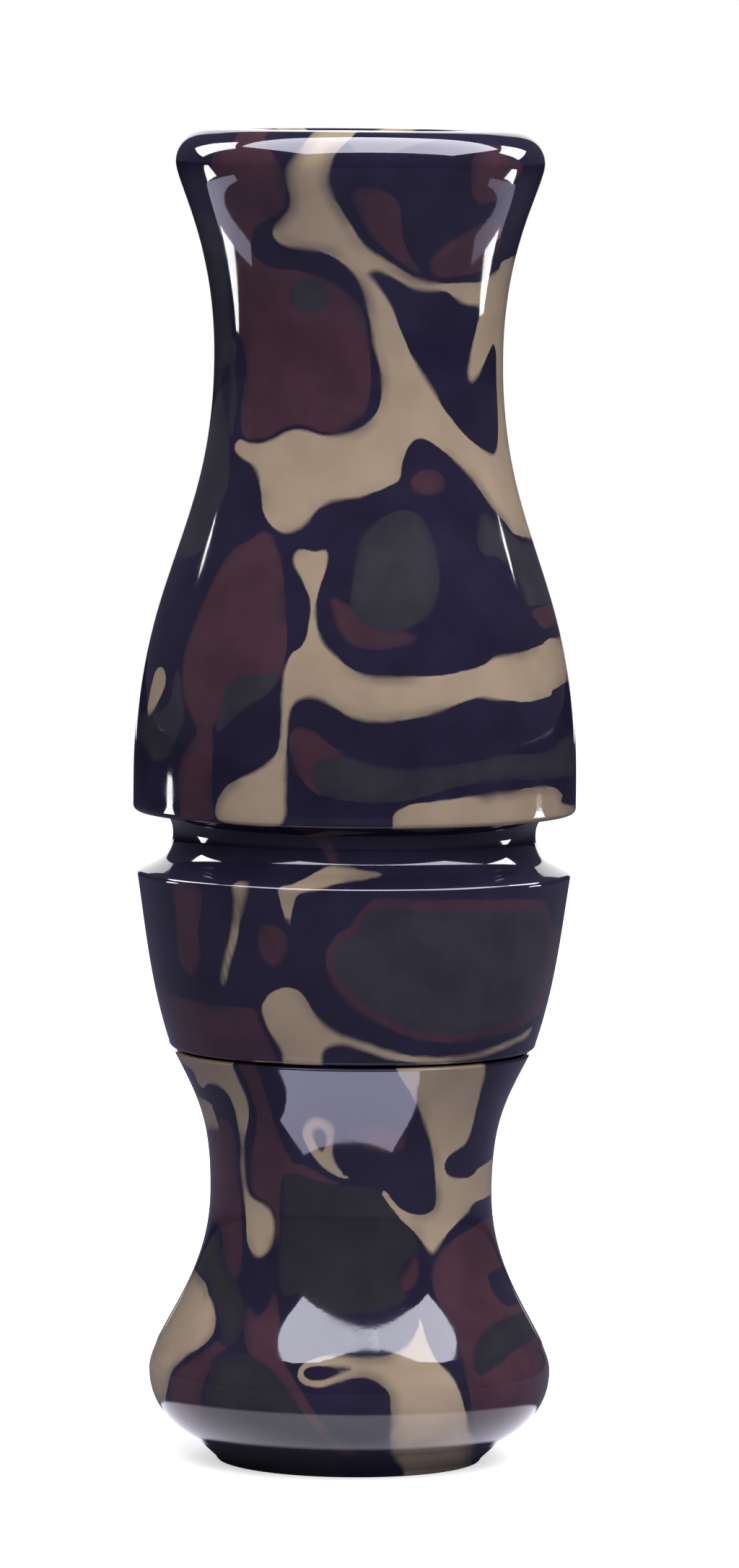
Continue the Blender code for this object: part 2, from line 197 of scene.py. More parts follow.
# The camouflage, as closed patches of (x, z) millimetres in the photograph's front view. Black is the
# ground colour, and each list lies over the ones before it: brown, olive, tan, then black again.
BARREL_PATCHES = {
    "brown": [
        [(-9.7, 109.5), (-7.7, 109.5), (-7.6, 107.6), (-7, 106.4), (-6.3, 105), (-6, 103.6), (-6, 102.4),
         (-6.6, 101.5), (-7.6, 100.9), (-8.4, 100.3), (-8.6, 99.3), (-8.5, 98.3), (-7.7, 97.5),
         (-6.5, 97.05), (-5, 96.95), (-3.6, 96.6), (-2.2, 96), (-1, 95.2), (0, 94.2), (0.5, 93),
         (0.75, 91.6), (0.9, 90), (1, 88.4), (0.95, 87), (0.6, 85.7), (-0.2, 84.8), (-1.4, 84),
         (-2.7, 83.95), (-3.8, 84.3), (-4.8, 84.5), (-6, 84.2), (-7, 83.6), (-8, 83.3), (-9, 83.4),
         (-9.4, 84.4), (-9.35, 86), (-9.2, 87.6), (-9.05, 89), (-9.2, 90.4), (-9.6, 92), (-9.9, 94),
         (-10.1, 96), (-10.4, 98), (-10.9, 100), (-11.4, 102), (-11.7, 104), (-11.9, 105.6),
         (-11.4, 106.6), (-10.4, 107.2), (-9.9, 107.8)],
        [(8.85, 105.4), (9.1, 106.3), (9.8, 107), (10.9, 107.2), (11.9, 106.6), (12.7, 105.9),
         (13, 105.2), (12.4, 104.4), (11.7, 103.6), (11, 102.9), (10, 102.5), (9.2, 102.9), (8.85, 104)],
        [(-0.4, 103.4), (0.8, 103.7), (2.2, 103.3), (3.1, 102.4), (3.3, 101), (3.5, 99.5), (4.1, 98),
         (5, 97), (4.6, 96.8), (3.6, 97.5), (2.6, 98.3), (1.6, 99.2), (0.8, 100.2), (0.1, 101.3),
         (-0.5, 102.4)],
        [(5.6, 97.3), (6.1, 98.4), (7.2, 99.4), (8.5, 100.1), (9.8, 100.8), (11, 101.4), (11.5, 100.4),
         (11.2, 99), (10.5, 97.8), (9.6, 97), (8.2, 96.65), (6.6, 96.55)],
        [(-8.6, 75.1), (-7.6, 75.8), (-6.9, 75.5), (-6.4, 74.5), (-6, 73.2), (-5.75, 71.5), (-5.6, 69.5),
         (-5.5, 67.5), (-5.6, 65.8), (-5.9, 64.4), (-6.4, 63.4), (-7.1, 62.8), (-7.8, 63.4),
         (-8.8, 63.9), (-10, 63.4), (-10.4, 62.2), (-10.9, 60.9), (-11.4, 59.6), (-11.35, 58),
         (-11.4, 56), (-11.35, 54), (-11.3, 52.3), (-12.6, 52.3), (-13.9, 52.6), (-13.95, 53.4),
         (-14.1, 55), (-13.95, 57), (-13.3, 58.4), (-12.6, 59.5), (-13.1, 60.7), (-13.7, 62),
         (-13.85, 64), (-13.7, 66), (-13, 68), (-12.2, 70), (-11.4, 71.8), (-10.5, 73.4), (-9.6, 74.5)],
        [(-5.2, 59.3), (-4.7, 59.85), (-3.9, 59.85), (-3, 59.4), (-2.2, 58.7), (-1.3, 58.1),
         (-0.6, 57.8), (-1.6, 57.3), (-2.4, 56.2), (-2.6, 55.2), (-2, 54.3), (-3, 54.5), (-3.8, 55.2),
         (-4.5, 56.2), (-4.95, 57.4), (-5.2, 58.4)],
        [(-1.9, 70.4), (-1.6, 68.8), (-1, 67.4), (0, 66.6), (1.4, 66.3), (3, 66.5), (4.2, 66.8),
         (4.8, 67.3), (3.6, 67.9), (2, 68.2), (0, 69.5)],
        [(4.3, 80), (5.1, 80.9), (6.2, 80.9), (7, 80.2), (6.8, 79.2), (5.7, 78.9), (4.7, 79.2)],
        [(14.5, 69.7), (15.3, 70.3), (16, 69.9), (16.2, 69), (15.8, 68.3), (15, 68.2), (14.5, 68.8)],
        [(-0.2, 43.8), (0.6, 45), (1.6, 45.9), (3, 46.05), (6, 46), (9, 46), (12, 46.05), (14.4, 46.05),
         (15.7, 45.5), (16.3, 44), (16.2, 41), (15.8, 38.4), (14.8, 36.4), (13, 35.3), (10.6, 34.6),
         (8, 34.3), (5.6, 34.5), (3.6, 35.1), (1.7, 36), (0.1, 37.1), (-1.2, 38.5), (-2, 40),
         (-2.1, 41.6), (-1.3, 43)],
        [(-15.2, 38), (-13.5, 37.6), (-11.5, 37.2), (-9.6, 37), (-7.9, 36.9), (-7.5, 36), (-7, 34.8),
         (-6.4, 33.6), (-6.1, 32), (-10, 31.6), (-14, 32.4), (-15.5, 35)],
        [(-5.2, 51.9), (-4, 51.3), (-2.9, 50.4), (-2.2, 49.5), (-1.9, 48.8), (-1.2, 48.8), (-1.4, 49.7),
         (-2.1, 50.8), (-3.2, 51.6), (-4.4, 52)],
        [(-7.3, 43.7), (-6.1, 43.7), (-5.3, 42.9), (-5.4, 41.6), (-6.2, 40.6), (-7.1, 41), (-7.6, 42.4)],
        [(-14.4, 47), (-12.4, 46.8), (-12.2, 45), (-12.5, 43), (-12.3, 41), (-13, 39.6), (-14, 41),
         (-14.2, 44)],
    ],
    "olive": [
        [(-5.6, 95), (-5.2, 95.9), (-4.2, 96.3), (-3.1, 96.1), (-2.4, 95.3), (-2.5, 94.3), (-3.4, 93.6),
         (-4.5, 93.55), (-5.3, 94.1)],
        [(-16, 101.5), (-12.2, 101.3), (-11.2, 99.5), (-10.7, 97), (-10.4, 94), (-10.2, 91),
         (-10.4, 89.5), (-10.8, 89), (-11.1, 87.6), (-10.8, 86), (-10.4, 84), (-10.3, 82), (-10.3, 80),
         (-10.9, 78), (-11.7, 76), (-12.4, 74.4), (-13.8, 73.6), (-14.6, 73), (-15.2, 72), (-19, 71),
         (-19, 85), (-16, 95)],
        [(-10.3, 91), (-9.8, 91), (-9.9, 89), (-9.75, 87), (-9.9, 85), (-10.1, 83.5), (-10.4, 84.5),
         (-10.3, 87)],
        [(-14.2, 64.6), (-13.9, 62.6), (-13.6, 60.8), (-14.1, 59.4), (-14.6, 58.2), (-15.3, 57.2),
         (-16.4, 57.2), (-17.1, 58.4), (-17.2, 60), (-16.6, 60.9), (-15.6, 61.2), (-14.9, 61.9),
         (-14.7, 63.3)],
        [(-10.2, 63.2), (-9.4, 64), (-8.2, 64.2), (-7, 64.3), (-6.2, 64.4), (-6.4, 63.4), (-7.1, 62.5),
         (-8.2, 61.9), (-9.2, 61.1), (-10, 60.3), (-10.8, 59.6), (-11.2, 59.9), (-10.9, 61),
         (-10.5, 62.2)],
        [(-3.3, 56.6), (-2.6, 57.4), (-1.4, 57.6), (0, 57.3), (1.5, 56.85), (3, 56.65), (4.6, 56.6),
         (6.5, 56.8), (8.5, 57.1), (10, 57.35), (11.5, 57.7), (13, 57.9), (14.5, 57.9), (15.9, 58.3),
         (17, 59.3), (17.7, 60.2), (19.5, 60), (19.5, 56.3), (17.5, 56.2), (16.2, 55.95), (15, 55.85),
         (13, 55.8), (11, 55.7), (9, 55.4), (7.5, 55), (6, 54.5), (4.5, 54.1), (3, 53.9), (1, 53.85),
         (-0.7, 54), (-2, 54.3), (-2.9, 54.8), (-3.4, 55.6)],
        [(0.6, 75.6), (1.9, 76.9), (3.4, 77.6), (4.8, 77.3), (5.8, 76), (6.4, 74), (6.6, 72),
         (6.3, 70.2), (5.5, 68.9), (4, 68), (2.3, 67.8), (0.8, 68.3), (-0.3, 69.3), (-0.3, 71.4),
         (0, 73.6)],
        [(9.6, 75.4), (10, 77.4), (11, 76.9), (12.2, 75.9), (13.6, 75), (14.7, 74.2), (15.2, 72.4),
         (15.3, 70.8), (14.3, 70), (13.5, 71), (12.6, 72.8), (11.3, 73.9), (10.2, 74.1)],
        [(0.2, 43.2), (1, 44.6), (2.1, 45.25), (4, 45.2), (6, 45.05), (9, 45.05), (12, 45.15),
         (14, 45.2), (15.3, 44.7), (15.6, 43), (15.4, 40.5), (15, 38.2), (14, 36.6), (12.2, 35.7),
         (10, 35.2), (8, 35), (6, 35.1), (4, 35.6), (2.2, 36.5), (0.6, 37.6), (-0.7, 39), (-1.4, 40.4),
         (-1.4, 41.8), (-0.7, 42.7)],
    ],
    "tan": [
        [(-2.7, 109.5), (-4.4, 107.2), (-5.3, 106), (-5.75, 105), (-5.75, 104), (-5.55, 103),
         (-5.6, 102), (-6.1, 101.2), (-6.7, 100.5), (-6.9, 99.9), (-6.5, 99.3), (-5.5, 98.9),
         (-4.3, 98.7), (-3.2, 98.5), (-2.1, 98.1), (-1.1, 97.4), (-0.3, 96.6), (0.2, 95.7), (0.6, 94.4),
         (0.95, 92.6), (1.25, 91), (1.7, 89.5), (1.9, 88), (1.85, 86.6), (1.4, 85.4), (0.7, 84.6),
         (-0.4, 84), (-1.6, 83.6), (-2.8, 83.6), (-3.8, 83.9), (-4.8, 84.1), (-5.8, 83.85), (-6.7, 83.3),
         (-7.7, 82.95), (-8.8, 83), (-9.5, 83.2), (-9.9, 82.6), (-9.3, 81.8), (-8.4, 81.2), (-7.9, 80.2),
         (-7.7, 79), (-7.6, 77.9), (-7.2, 76.8), (-6.5, 76), (-5.7, 75.75), (-4.8, 76), (-4, 76.6),
         (-3.3, 77.5), (-2.3, 78.2), (-1, 78.5), (0.2, 78.65), (1.4, 79.1), (2.6, 79.6), (3.4, 80.3),
         (3.6, 81.6), (4, 82.7), (4.7, 83.4), (5.6, 83.3), (6.5, 82.7), (7.4, 82), (8.4, 81.1),
         (9.3, 80.1), (10.2, 78.8), (11.1, 77.6), (12.1, 76.5), (13.2, 75.6), (14.4, 74.8), (16, 74.5),
         (16, 80), (15, 84), (14, 90), (14, 96), (14, 99.5), (13, 99.4), (12.5, 99), (11.8, 98),
         (11.2, 97.2), (10.3, 96.5), (9.4, 96.15), (8, 96.1), (6.8, 96), (5.8, 96.05), (4.8, 96.35),
         (3.9, 96.8), (3, 97.35), (2, 97.9), (1.1, 98.4), (0.4, 99.1), (-0.2, 99.9), (-0.8, 100.9),
         (-1.4, 101.9), (-2.1, 102.9), (-2.5, 104), (-2.5, 105), (-2.2, 106), (-1.5, 107), (-0.4, 108),
         (0.3, 109.5)],
        [(-5.1, 65.9), (-4.4, 66.4), (-3.9, 67.3), (-3.75, 68.4), (-3.6, 69.6), (-3.75, 70.6),
         (-4.4, 72), (-5, 73.4), (-4.6, 74.3), (-3.4, 74.2), (-2.4, 74.3), (-2.4, 73), (-2.9, 71.5),
         (-3.2, 70.3), (-3.2, 69), (-3.05, 67.8), (-2.5, 66.7), (-1.6, 65.7), (-0.6, 64.9), (0.6, 64.3),
         (2, 64.1), (3.6, 64.1), (5.4, 64.15), (7, 64.3), (8.6, 64.6), (9.9, 65), (11, 65.6), (12.4, 66),
         (13.8, 66.35), (15, 66.8), (15.9, 67.35), (16.6, 66.9), (16.95, 65.8), (16.9, 64.6),
         (16.3, 63.4), (15.7, 62.7), (14.4, 62.25), (12.6, 62.2), (11, 62.4), (10, 62.5), (9, 62.25),
         (7.5, 61.65), (6, 61.1), (4.5, 60.7), (3, 60.5), (1.5, 60.5), (0.3, 60.7), (-0.8, 61.1),
         (-1.8, 61.7), (-2.6, 62.2), (-3.5, 62.45), (-4.3, 62.3), (-4.9, 61.8), (-5.25, 60.8),
         (-5.4, 59.4), (-5.45, 57.8), (-5.5, 56), (-5.5, 54), (-5.55, 52.6), (-5.6, 51.9), (-8, 51.95),
         (-10.7, 52.2), (-11.15, 52.9), (-10.9, 54), (-10.2, 55), (-9.2, 55.7), (-8, 56.2), (-6.9, 56.9),
         (-6.2, 57.8), (-5.95, 59), (-5.9, 61), (-5.8, 63), (-5.55, 64.7)],
        [(3.5, 51.65), (3.1, 52.1), (3.1, 52.7), (3.5, 53.2), (4.6, 53.7), (6.4, 54), (8.4, 54.25),
         (10.4, 54.5), (12.3, 54.75), (13.8, 55.1), (15.2, 55.25), (16.2, 55.1), (16.8, 54.5),
         (17, 53.8), (16.6, 53), (15, 52.5), (10, 51.95)],
        [(-16.1, 64.4), (-15.7, 64.75), (-15.35, 64.4), (-15.25, 63.6), (-15.45, 62.8), (-15.8, 62),
         (-16.2, 61.3), (-16.6, 60.8), (-16.8, 61), (-16.7, 61.9), (-16.4, 63.3)],
        [(-5.9, 46.8), (-5.75, 45.6), (-5.5, 44.5), (-5.15, 43.3), (-4.95, 44.5), (-4.7, 45.6),
         (-4.3, 46.3), (-3, 46.7), (-1.7, 47.1), (-0.4, 47.4), (0.8, 47.6), (2.2, 48), (0.8, 48.25),
         (-0.8, 48.6), (-2, 48.6), (-2.8, 48.2), (-3.9, 47.6), (-4.9, 47.1)],
        [(-9.7, 46.8), (-9.2, 47.3), (-8.5, 46.9), (-8.8, 45.6), (-9.05, 44), (-9.4, 42.2), (-9.9, 40.4),
         (-10.2, 39), (-10.5, 39), (-10.35, 40.4), (-9.95, 42.2), (-9.65, 44), (-9.5, 45.6)],
        [(-7.1, 37.4), (-6.6, 38.2), (-5.4, 38.65), (-4.3, 38.4), (-3.5, 37.5), (-3, 36.5), (-2.2, 35.6),
         (-1.1, 34.95), (0.2, 34.45), (1.6, 34), (3, 33.55), (4.6, 33.2), (6.4, 33.05), (8.2, 33.1),
         (10, 33.45), (11.6, 34), (13, 34.6), (14.2, 35.3), (14.6, 35.7), (14.2, 34.9), (13, 34.2),
         (11.6, 33.6), (10, 33.05), (8.2, 32.7), (6.2, 32.6), (4.2, 32.7), (2.4, 33.1), (1, 33.6),
         (-0.4, 34), (-1.4, 34.05), (-2.2, 33.7), (-2.5, 33), (-2.6, 31.5), (-5.2, 31.5), (-5.6, 33.4),
         (-6.3, 34.6), (-6.9, 35.7), (-7.2, 36.6)],
    ],
    "black": [
        [(0.7, 96.9), (1.4, 97.05), (2.2, 96.75), (3.1, 96.2), (4.1, 95.75), (5.1, 95.55), (6.2, 95.5),
         (7, 95.35), (7.7, 94.9), (8.6, 94.4), (9.5, 94.25), (9.9, 93.9), (9.5, 92.7), (9.2, 91.4),
         (8.95, 90), (8.8, 88.9), (9.05, 88.15), (9.6, 88.6), (10.1, 89.6), (10.5, 90.6), (10.85, 91.2),
         (11.1, 90.4), (11.1, 89), (11.15, 87.4), (11.25, 85.6), (11.3, 84), (11.2, 82.7), (10.9, 82.15),
         (10.3, 82.4), (9.5, 83), (8.6, 83.8), (7.7, 84.8), (6.8, 86), (5.9, 87.4), (5, 88.9),
         (4.3, 90.1), (3.75, 91.3), (3.2, 92.6), (2.7, 93.8), (2.1, 94.9), (1.4, 95.9), (0.85, 96.5)],
    ],
}
INSERT_PATCHES = {
    "brown": [
        [(-11.2, 27.4), (-10.3, 27.9), (-9.7, 27.2), (-9.35, 26), (-9.2, 24.4), (-9.1, 22.8), (-8.9, 21),
         (-8.75, 19), (-8.7, 17.2), (-8.9, 15.6), (-9.4, 14.4), (-10, 15.4), (-10.4, 17), (-10.7, 19),
         (-11.1, 21), (-11.4, 23), (-11.5, 25.2)],
        [(-9.2, 34), (-8, 34), (-7.5, 31.6), (-7, 30), (-6.5, 28.5), (-6, 27), (-5.4, 25.6),
         (-4.8, 24.5), (-5.4, 23.4), (-5.7, 22), (-5.75, 20.4), (-5.7, 18.8), (-5.9, 17.5), (-6.1, 19),
         (-6.2, 20.3), (-6.7, 21), (-7.5, 21.5), (-8, 22.3), (-8.1, 23.6), (-8, 25), (-7.7, 26.5),
         (-7.6, 28), (-7.9, 29.4), (-8.4, 30.8), (-9, 32)],
        [(-5, 24.1), (-4, 24.2), (-2.8, 23.65), (-1.6, 23), (-0.7, 22.6), (-2, 22.5), (-4, 22.9),
         (-5.3, 23.4)],
        [(-0.3, 26.6), (0.6, 27.2), (2, 27.4), (3.4, 27.2), (4.3, 26.6), (4.2, 25.7), (3.2, 25.3),
         (1.8, 25.5), (0.6, 26)],
        [(6.65, 15.4), (7, 16.6), (7.7, 17.6), (8.7, 18.4), (9.9, 19.1), (11, 19.8), (12.2, 20.4),
         (14, 20.6), (17, 16), (19, 10), (19, 5), (17, 3.2), (15, 2.7), (12, 2.3), (10.2, 2.2),
         (10, 3.5), (9.8, 5), (9.5, 6.5), (9.15, 8), (8.8, 9.3), (8.3, 10.7), (7.6, 12), (7, 13.3),
         (6.7, 14.4)],
        [(-14.3, 6.8), (-13.3, 7.6), (-12.3, 8.3), (-11.4, 9), (-10.7, 9.6), (-9.9, 9), (-10.8, 8.2),
         (-11.4, 6.8), (-11.9, 5.2), (-12, 3.6), (-12, 2.4), (-14, 2.8), (-14.5, 4), (-14.5, 5.5)],
        [(-8.2, 12.4), (-7.4, 11.7), (-6.7, 12.3), (-6.1, 13.6), (-5.75, 12.5), (-5.65, 11),
         (-5.75, 9.6), (-5.4, 8.4), (-4.7, 7), (-3.8, 5.6), (-3, 4.3), (-2.3, 3.2), (-1.2, 2), (0, 1),
         (1, 0.2), (-0.6, 0.2), (-2, 1.4), (-3.4, 3), (-4.4, 4.6), (-5.4, 6.2), (-6.4, 7.4), (-7.6, 8.2),
         (-8.3, 9.2), (-8.5, 10.8)],
        [(3.9, 14.6), (4.6, 15.6), (5.2, 16.8), (5.5, 16), (5.4, 14.9), (4.9, 14), (4.2, 13.9)],
    ],
    "olive": [
        [(-5.3, 23.2), (-4.2, 23.4), (-2.8, 22.9), (-1, 22.5), (1, 22.4), (2.4, 22), (3.4, 20.8),
         (4.4, 19.5), (5.2, 18.3), (5.4, 17.2), (4.6, 16.4), (4, 15.2), (4.3, 14), (4.5, 13.2),
         (3, 12.4), (1, 12), (-1.5, 12), (-3, 12.9), (-4.2, 13.6), (-5.2, 13.4), (-5.6, 14.5),
         (-5.7, 16.5), (-5.5, 19), (-5.4, 21)],
        [(10.2, 9.5), (11, 10.8), (12.3, 11.6), (13.5, 12), (14.5, 11.8), (14.6, 10.5), (13.8, 9.3),
         (12.6, 8.3), (11.3, 7.4), (10.4, 7), (9.9, 7.8)],
        [(-12.6, 18), (-11, 18.2), (-10.5, 17), (-9.7, 15.4), (-9, 14), (-8.5, 12.6), (-8.4, 11),
         (-9.3, 9.5), (-10.2, 9.3), (-10.3, 10.5), (-10.6, 12), (-11.2, 13.5), (-11.8, 15),
         (-12.4, 16.4)],
        [(-10.9, 8.1), (-9, 8.6), (-7.6, 8.3), (-6.3, 7.4), (-5.3, 6.2), (-4.3, 4.9), (-3.4, 3.4),
         (-2.2, 1.9), (-1, 0.6), (-1, -2.5), (-8, -2.2), (-11, 0), (-11.8, 3), (-11.7, 5), (-11.3, 6.6)],
    ],
    "tan": [
        [(3.5, 34.5), (11.2, 35), (16, 35), (14, 26), (13, 22.3), (11.4, 22), (10.4, 21.3), (9.5, 20.4),
         (8.7, 19.6), (8, 18.8), (7.3, 17.9), (6.75, 17.1), (6.35, 17.2), (5.7, 18.1), (4.9, 19),
         (4.05, 19.8), (3.1, 20.9), (2.4, 22.05), (2.9, 21.95), (3.6, 21.05), (4.2, 20.45), (5.2, 20.15),
         (6.1, 20.25), (6.7, 20.6), (6.9, 21.3), (6.85, 22.6), (6.75, 24), (6.6, 25.2), (6.35, 26.3),
         (6, 27.4), (5.6, 28.4), (5.1, 29.4), (4.6, 30.4), (3.9, 31.4), (3.5, 32.4)],
        [(-16, 35), (-12, 35), (-9.6, 34), (-9.5, 31.9), (-9.1, 31), (-8.6, 29.9), (-8.3, 28.8),
         (-8.35, 27.6), (-8.6, 26.4), (-8.65, 24.8), (-8.55, 23.2), (-8.35, 21.9), (-7.9, 21.3),
         (-7.1, 20.9), (-6.5, 20.3), (-6.2, 19.2), (-6.3, 17.9), (-6.7, 17), (-7.4, 16.6), (-8, 17),
         (-8.35, 18), (-8.45, 19.6), (-8.55, 21.2), (-8.75, 22.6), (-8.9, 24), (-8.9, 25.4),
         (-9.05, 26.8), (-9.3, 28.1), (-9.7, 29.4), (-10.2, 30.2), (-10.9, 30.65), (-11.6, 30.7),
         (-12, 30.3), (-12.5, 30.8), (-13.2, 32), (-14.2, 33.2)],
        [(-12.6, 29.9), (-11.8, 29.3), (-11.2, 28.5), (-10.9, 27.6), (-11, 26.9), (-11.5, 26.5),
         (-12.4, 26.8), (-14, 28)],
        [(-3.8, 27.3), (-3.3, 27.9), (-2.5, 28), (-1.7, 27.7), (-1.35, 27), (-1.5, 26), (-1.5, 25),
         (-1.2, 24.2), (-0.6, 23.5), (0, 23.05), (-0.8, 23.1), (-1.6, 23.5), (-2.4, 24.1), (-3.1, 24.9),
         (-3.6, 25.8), (-3.9, 26.6)],
        [(-12.4, 15.8), (-12, 14.6), (-11.4, 13.3), (-10.95, 12.1), (-10.85, 10.9), (-11.2, 9.9),
         (-12.1, 9), (-13.2, 8.3), (-14.1, 7.4), (-14.6, 6.2), (-14.85, 5), (-15.05, 4.2), (-18, 3.8),
         (-19, 7), (-18.5, 11), (-17, 13), (-14.5, 15.5)],
        [(5.75, 12.6), (5.9, 11.2), (6.2, 10), (6.7, 8.7), (7.4, 7.7), (8.2, 6.9), (8.7, 6), (9.1, 5),
         (9.4, 3.8), (9.7, 2.4), (10, 1), (9.9, -0.6), (9, -2), (5.5, -2.2), (4.4, -0.6), (3.6, 0.4),
         (3.4, 1.4), (3.4, 2.8), (3.4, 4.5), (3.2, 5.5), (2.6, 6.2), (1.6, 6.7), (0.4, 6.7), (-0.8, 6.4),
         (-2, 6), (-3.1, 6), (-3.9, 6.4), (-4.1, 7.1), (-3.8, 7.7), (-3, 8.2), (-1.6, 8.5), (0, 8.4),
         (1.6, 8.4), (3, 8.6), (4.2, 9), (5, 9.8), (5.5, 11)],
    ],
    "black": [
        [(11.05, 34), (10.6, 31.2), (10.2, 29.5), (9.9, 28), (9.6, 26.9), (9.2, 26), (8.5, 25.45),
         (7.85, 24.9), (7.55, 24.2), (7.75, 23.5), (8.4, 23.15), (9.3, 23.15), (10, 23.5), (10.7, 24.2),
         (11.3, 25), (13, 25.6), (14, 28), (15, 31), (15.5, 34)],
        [(-2.9, 27.1), (-2.3, 27.1), (-1.95, 26.4), (-2.1, 25.6), (-2.4, 25.1), (-2.8, 25.7),
         (-3.1, 26.5)],
        [(11.3, 14.6), (11.5, 15.5), (12.1, 15.6), (12.7, 14.9), (13.3, 14), (13.7, 13.1), (13.2, 12.7),
         (12.4, 12.9), (11.7, 13.6)],
        [(-3.65, 7.05), (-3.3, 7.5), (-2.4, 7.65), (-1, 7.6), (0.2, 7.5), (-0.6, 7.1), (-1.4, 6.7),
         (-2.3, 6.5), (-3.2, 6.55)],
    ],
}
LAYERS = ("brown", "olive", "tan", "black")
# Depths inside and outside the patches are followed no further than this, in millimetres
FADE = 2.5
# A point past this share of the radius is at the edge of the view, and runs on round to this angle
EDGE_SHARE, EDGE_ANGLE = 0.96, math.radians(109)
# How steeply the camera looks down on the foot, and how much less so for each millimetre above it
VIEW_SLOPE, VIEW_SLOPE_FALL = 0.142, 0.0012
# How the front's pattern turns and slides as it carries on round the back
BACK_TURN, BACK_EASE, BACK_END_MARGIN = 0.7, 1.5, 0.5
BARREL_BACK_SLIDE, INSERT_BACK_SLIDE = 17, 9
# The slant at which the barrel's pattern shows in the hidden part of the insert
HIDDEN_SKEW, HIDDEN_GIRTH, HIDDEN_TURN = 0.6, 11, 0.25


def radius_on(line):
    """The outside radius of a turned line as a function of height."""
    points = sorted((z, r) for r, z in line)
    heights = [z for z, r in points]
    radii = [r for z, r in points]
    return lambda height: float(np.interp(height, heights, radii))


def unroll(x, z, radius_at):
    """The angle from the front and the true height of a front view point. The camera looks down a little,
    more so towards the foot, so a point on the near side shows lower than it is. A point at the edge runs
    on past it."""
    height = z
    for _ in range(4):
        radius = radius_at(height)
        share = min(1, abs(x) / radius)
        height = z + radius * math.sqrt(1 - share * share) * (VIEW_SLOPE - VIEW_SLOPE_FALL * z)
    angle = EDGE_ANGLE if share > EDGE_SHARE else math.asin(share)
    return math.copysign(angle, x), height


def smooth_outline(points, steps=5):
    """A closed curve through the points."""
    p = np.array(points)
    before, after, beyond = np.roll(p, 1, 0), np.roll(p, -1, 0), np.roll(p, -2, 0)
    rows = []
    for t in np.arange(steps) / steps:
        rows.append(
            0.5 * (2 * p + (after - before) * t + (2 * before - 5 * p + 4 * after - beyond) * t**2
                   + (3 * p - before - 3 * after + beyond) * t**3)
        )
    return np.stack(rows, 1).reshape(-1, 2)


def depth_inside(outline, points):
    """How far inside a closed outline each point is, below zero outside it."""
    a, b = outline, np.roll(outline, -1, 0)
    along = b - a
    length = np.maximum((along**2).sum(1), TINY)
    to_point = points[:, None, :] - a[None]
    share = np.clip((to_point * along).sum(2) / length, 0, 1)
    gap = to_point - share[..., None] * along
    distance = np.sqrt((gap**2).sum(2).min(1))
    y = points[:, 1, None]
    crosses = (a[:, 1] > y) != (b[:, 1] > y)
    rise = np.where(along[:, 1] == 0, TINY, along[:, 1])
    crossing_x = a[:, 0] + (y - a[:, 1]) * along[:, 0] / rise
    inside = (crosses & (points[:, 0, None] < crossing_x)).sum(1) % 2 == 1
    return np.where(inside, distance, -distance)


def camouflage(patches, radius_at, angle, level):
    """For each layer, how far inside its patches every point (angle, level) is, in millimetres."""
    depths = {}
    for layer in LAYERS:
        depth = np.full(len(angle), -FADE)
        for patch in patches[layer]:
            flat = np.array([unroll(x, z, radius_at) for x, z in patch])
            girth = np.mean([radius_at(z) for _, z in flat])
            outline = smooth_outline(flat * (girth, 1))
            points = np.stack([angle * girth, level], 1)
            low, high = outline.min(0) - FADE, outline.max(0) + FADE
            near = np.flatnonzero(((points > low) & (points < high)).all(1))
            if len(near):
                depth[near] = np.maximum(depth[near], depth_inside(outline, points[near]))
        depths[layer] = np.clip(depth, -FADE, FADE)
    return depths


def carry_round(angle, level, low, high, slide):
    """Carries the drawn front on round the back: each back point takes the front point across the edge from
    it, moved further along the piece and round it the nearer it is to the middle of the back."""
    over = np.clip(np.abs(angle) - math.pi / 2, 0, None)
    share = np.sin(over) ** BACK_EASE
    front = np.where(over > 0, np.sign(angle) * (math.pi / 2 - over), angle) + BACK_TURN * share
    moved = level + slide * share
    span = high - low
    folded = np.abs((moved - low) % (2 * span) - span)
    return front, np.where(over > 0, high - folded, level)


def finished(name, mesh, sharp_angle=SHARP_ANGLE):
    """An object from a bmesh in metres, smooth but for its sharp edges."""
    bmesh.ops.recalc_face_normals(mesh, faces=mesh.faces)
    data = bpy.data.meshes.new(name)
    mesh.to_mesh(data)
    mesh.free()
    data.shade_smooth()
    data.set_sharp_from_angle(angle=sharp_angle)
    obj = bpy.data.objects.new(name, data)
    bpy.context.scene.collection.objects.link(obj)
    return obj


def turned(name, line, closed, segments=SEGMENTS):
    """A (radius, height) line in millimetres, turned about the axis from the back round."""
    mesh = bmesh.new()
    turns = [math.tau * step / segments - math.pi for step in range(segments)]
    rings = []
    for radius, height in line:
        if radius < NEAR:
            rings.append([mesh.verts.new((0, 0, height * MM))])
            continue
        points = [(radius * math.sin(turn), -radius * math.cos(turn), height) for turn in turns]
        rings.append([mesh.verts.new(Vector(point) * MM) for point in points])
    pairs = list(zip(rings, rings[1:]))
    if closed:
        pairs.append((rings[-1], rings[0]))
    for upper, lower in pairs:
        for step in range(segments):
            corners = []
            for ring, steps in ((upper, (step, step + 1)), (lower, (step + 1, step))):
                corners += [ring[0]] if len(ring) == 1 else [ring[s % segments] for s in steps]
            mesh.faces.new(corners)
    return finished(name, mesh)


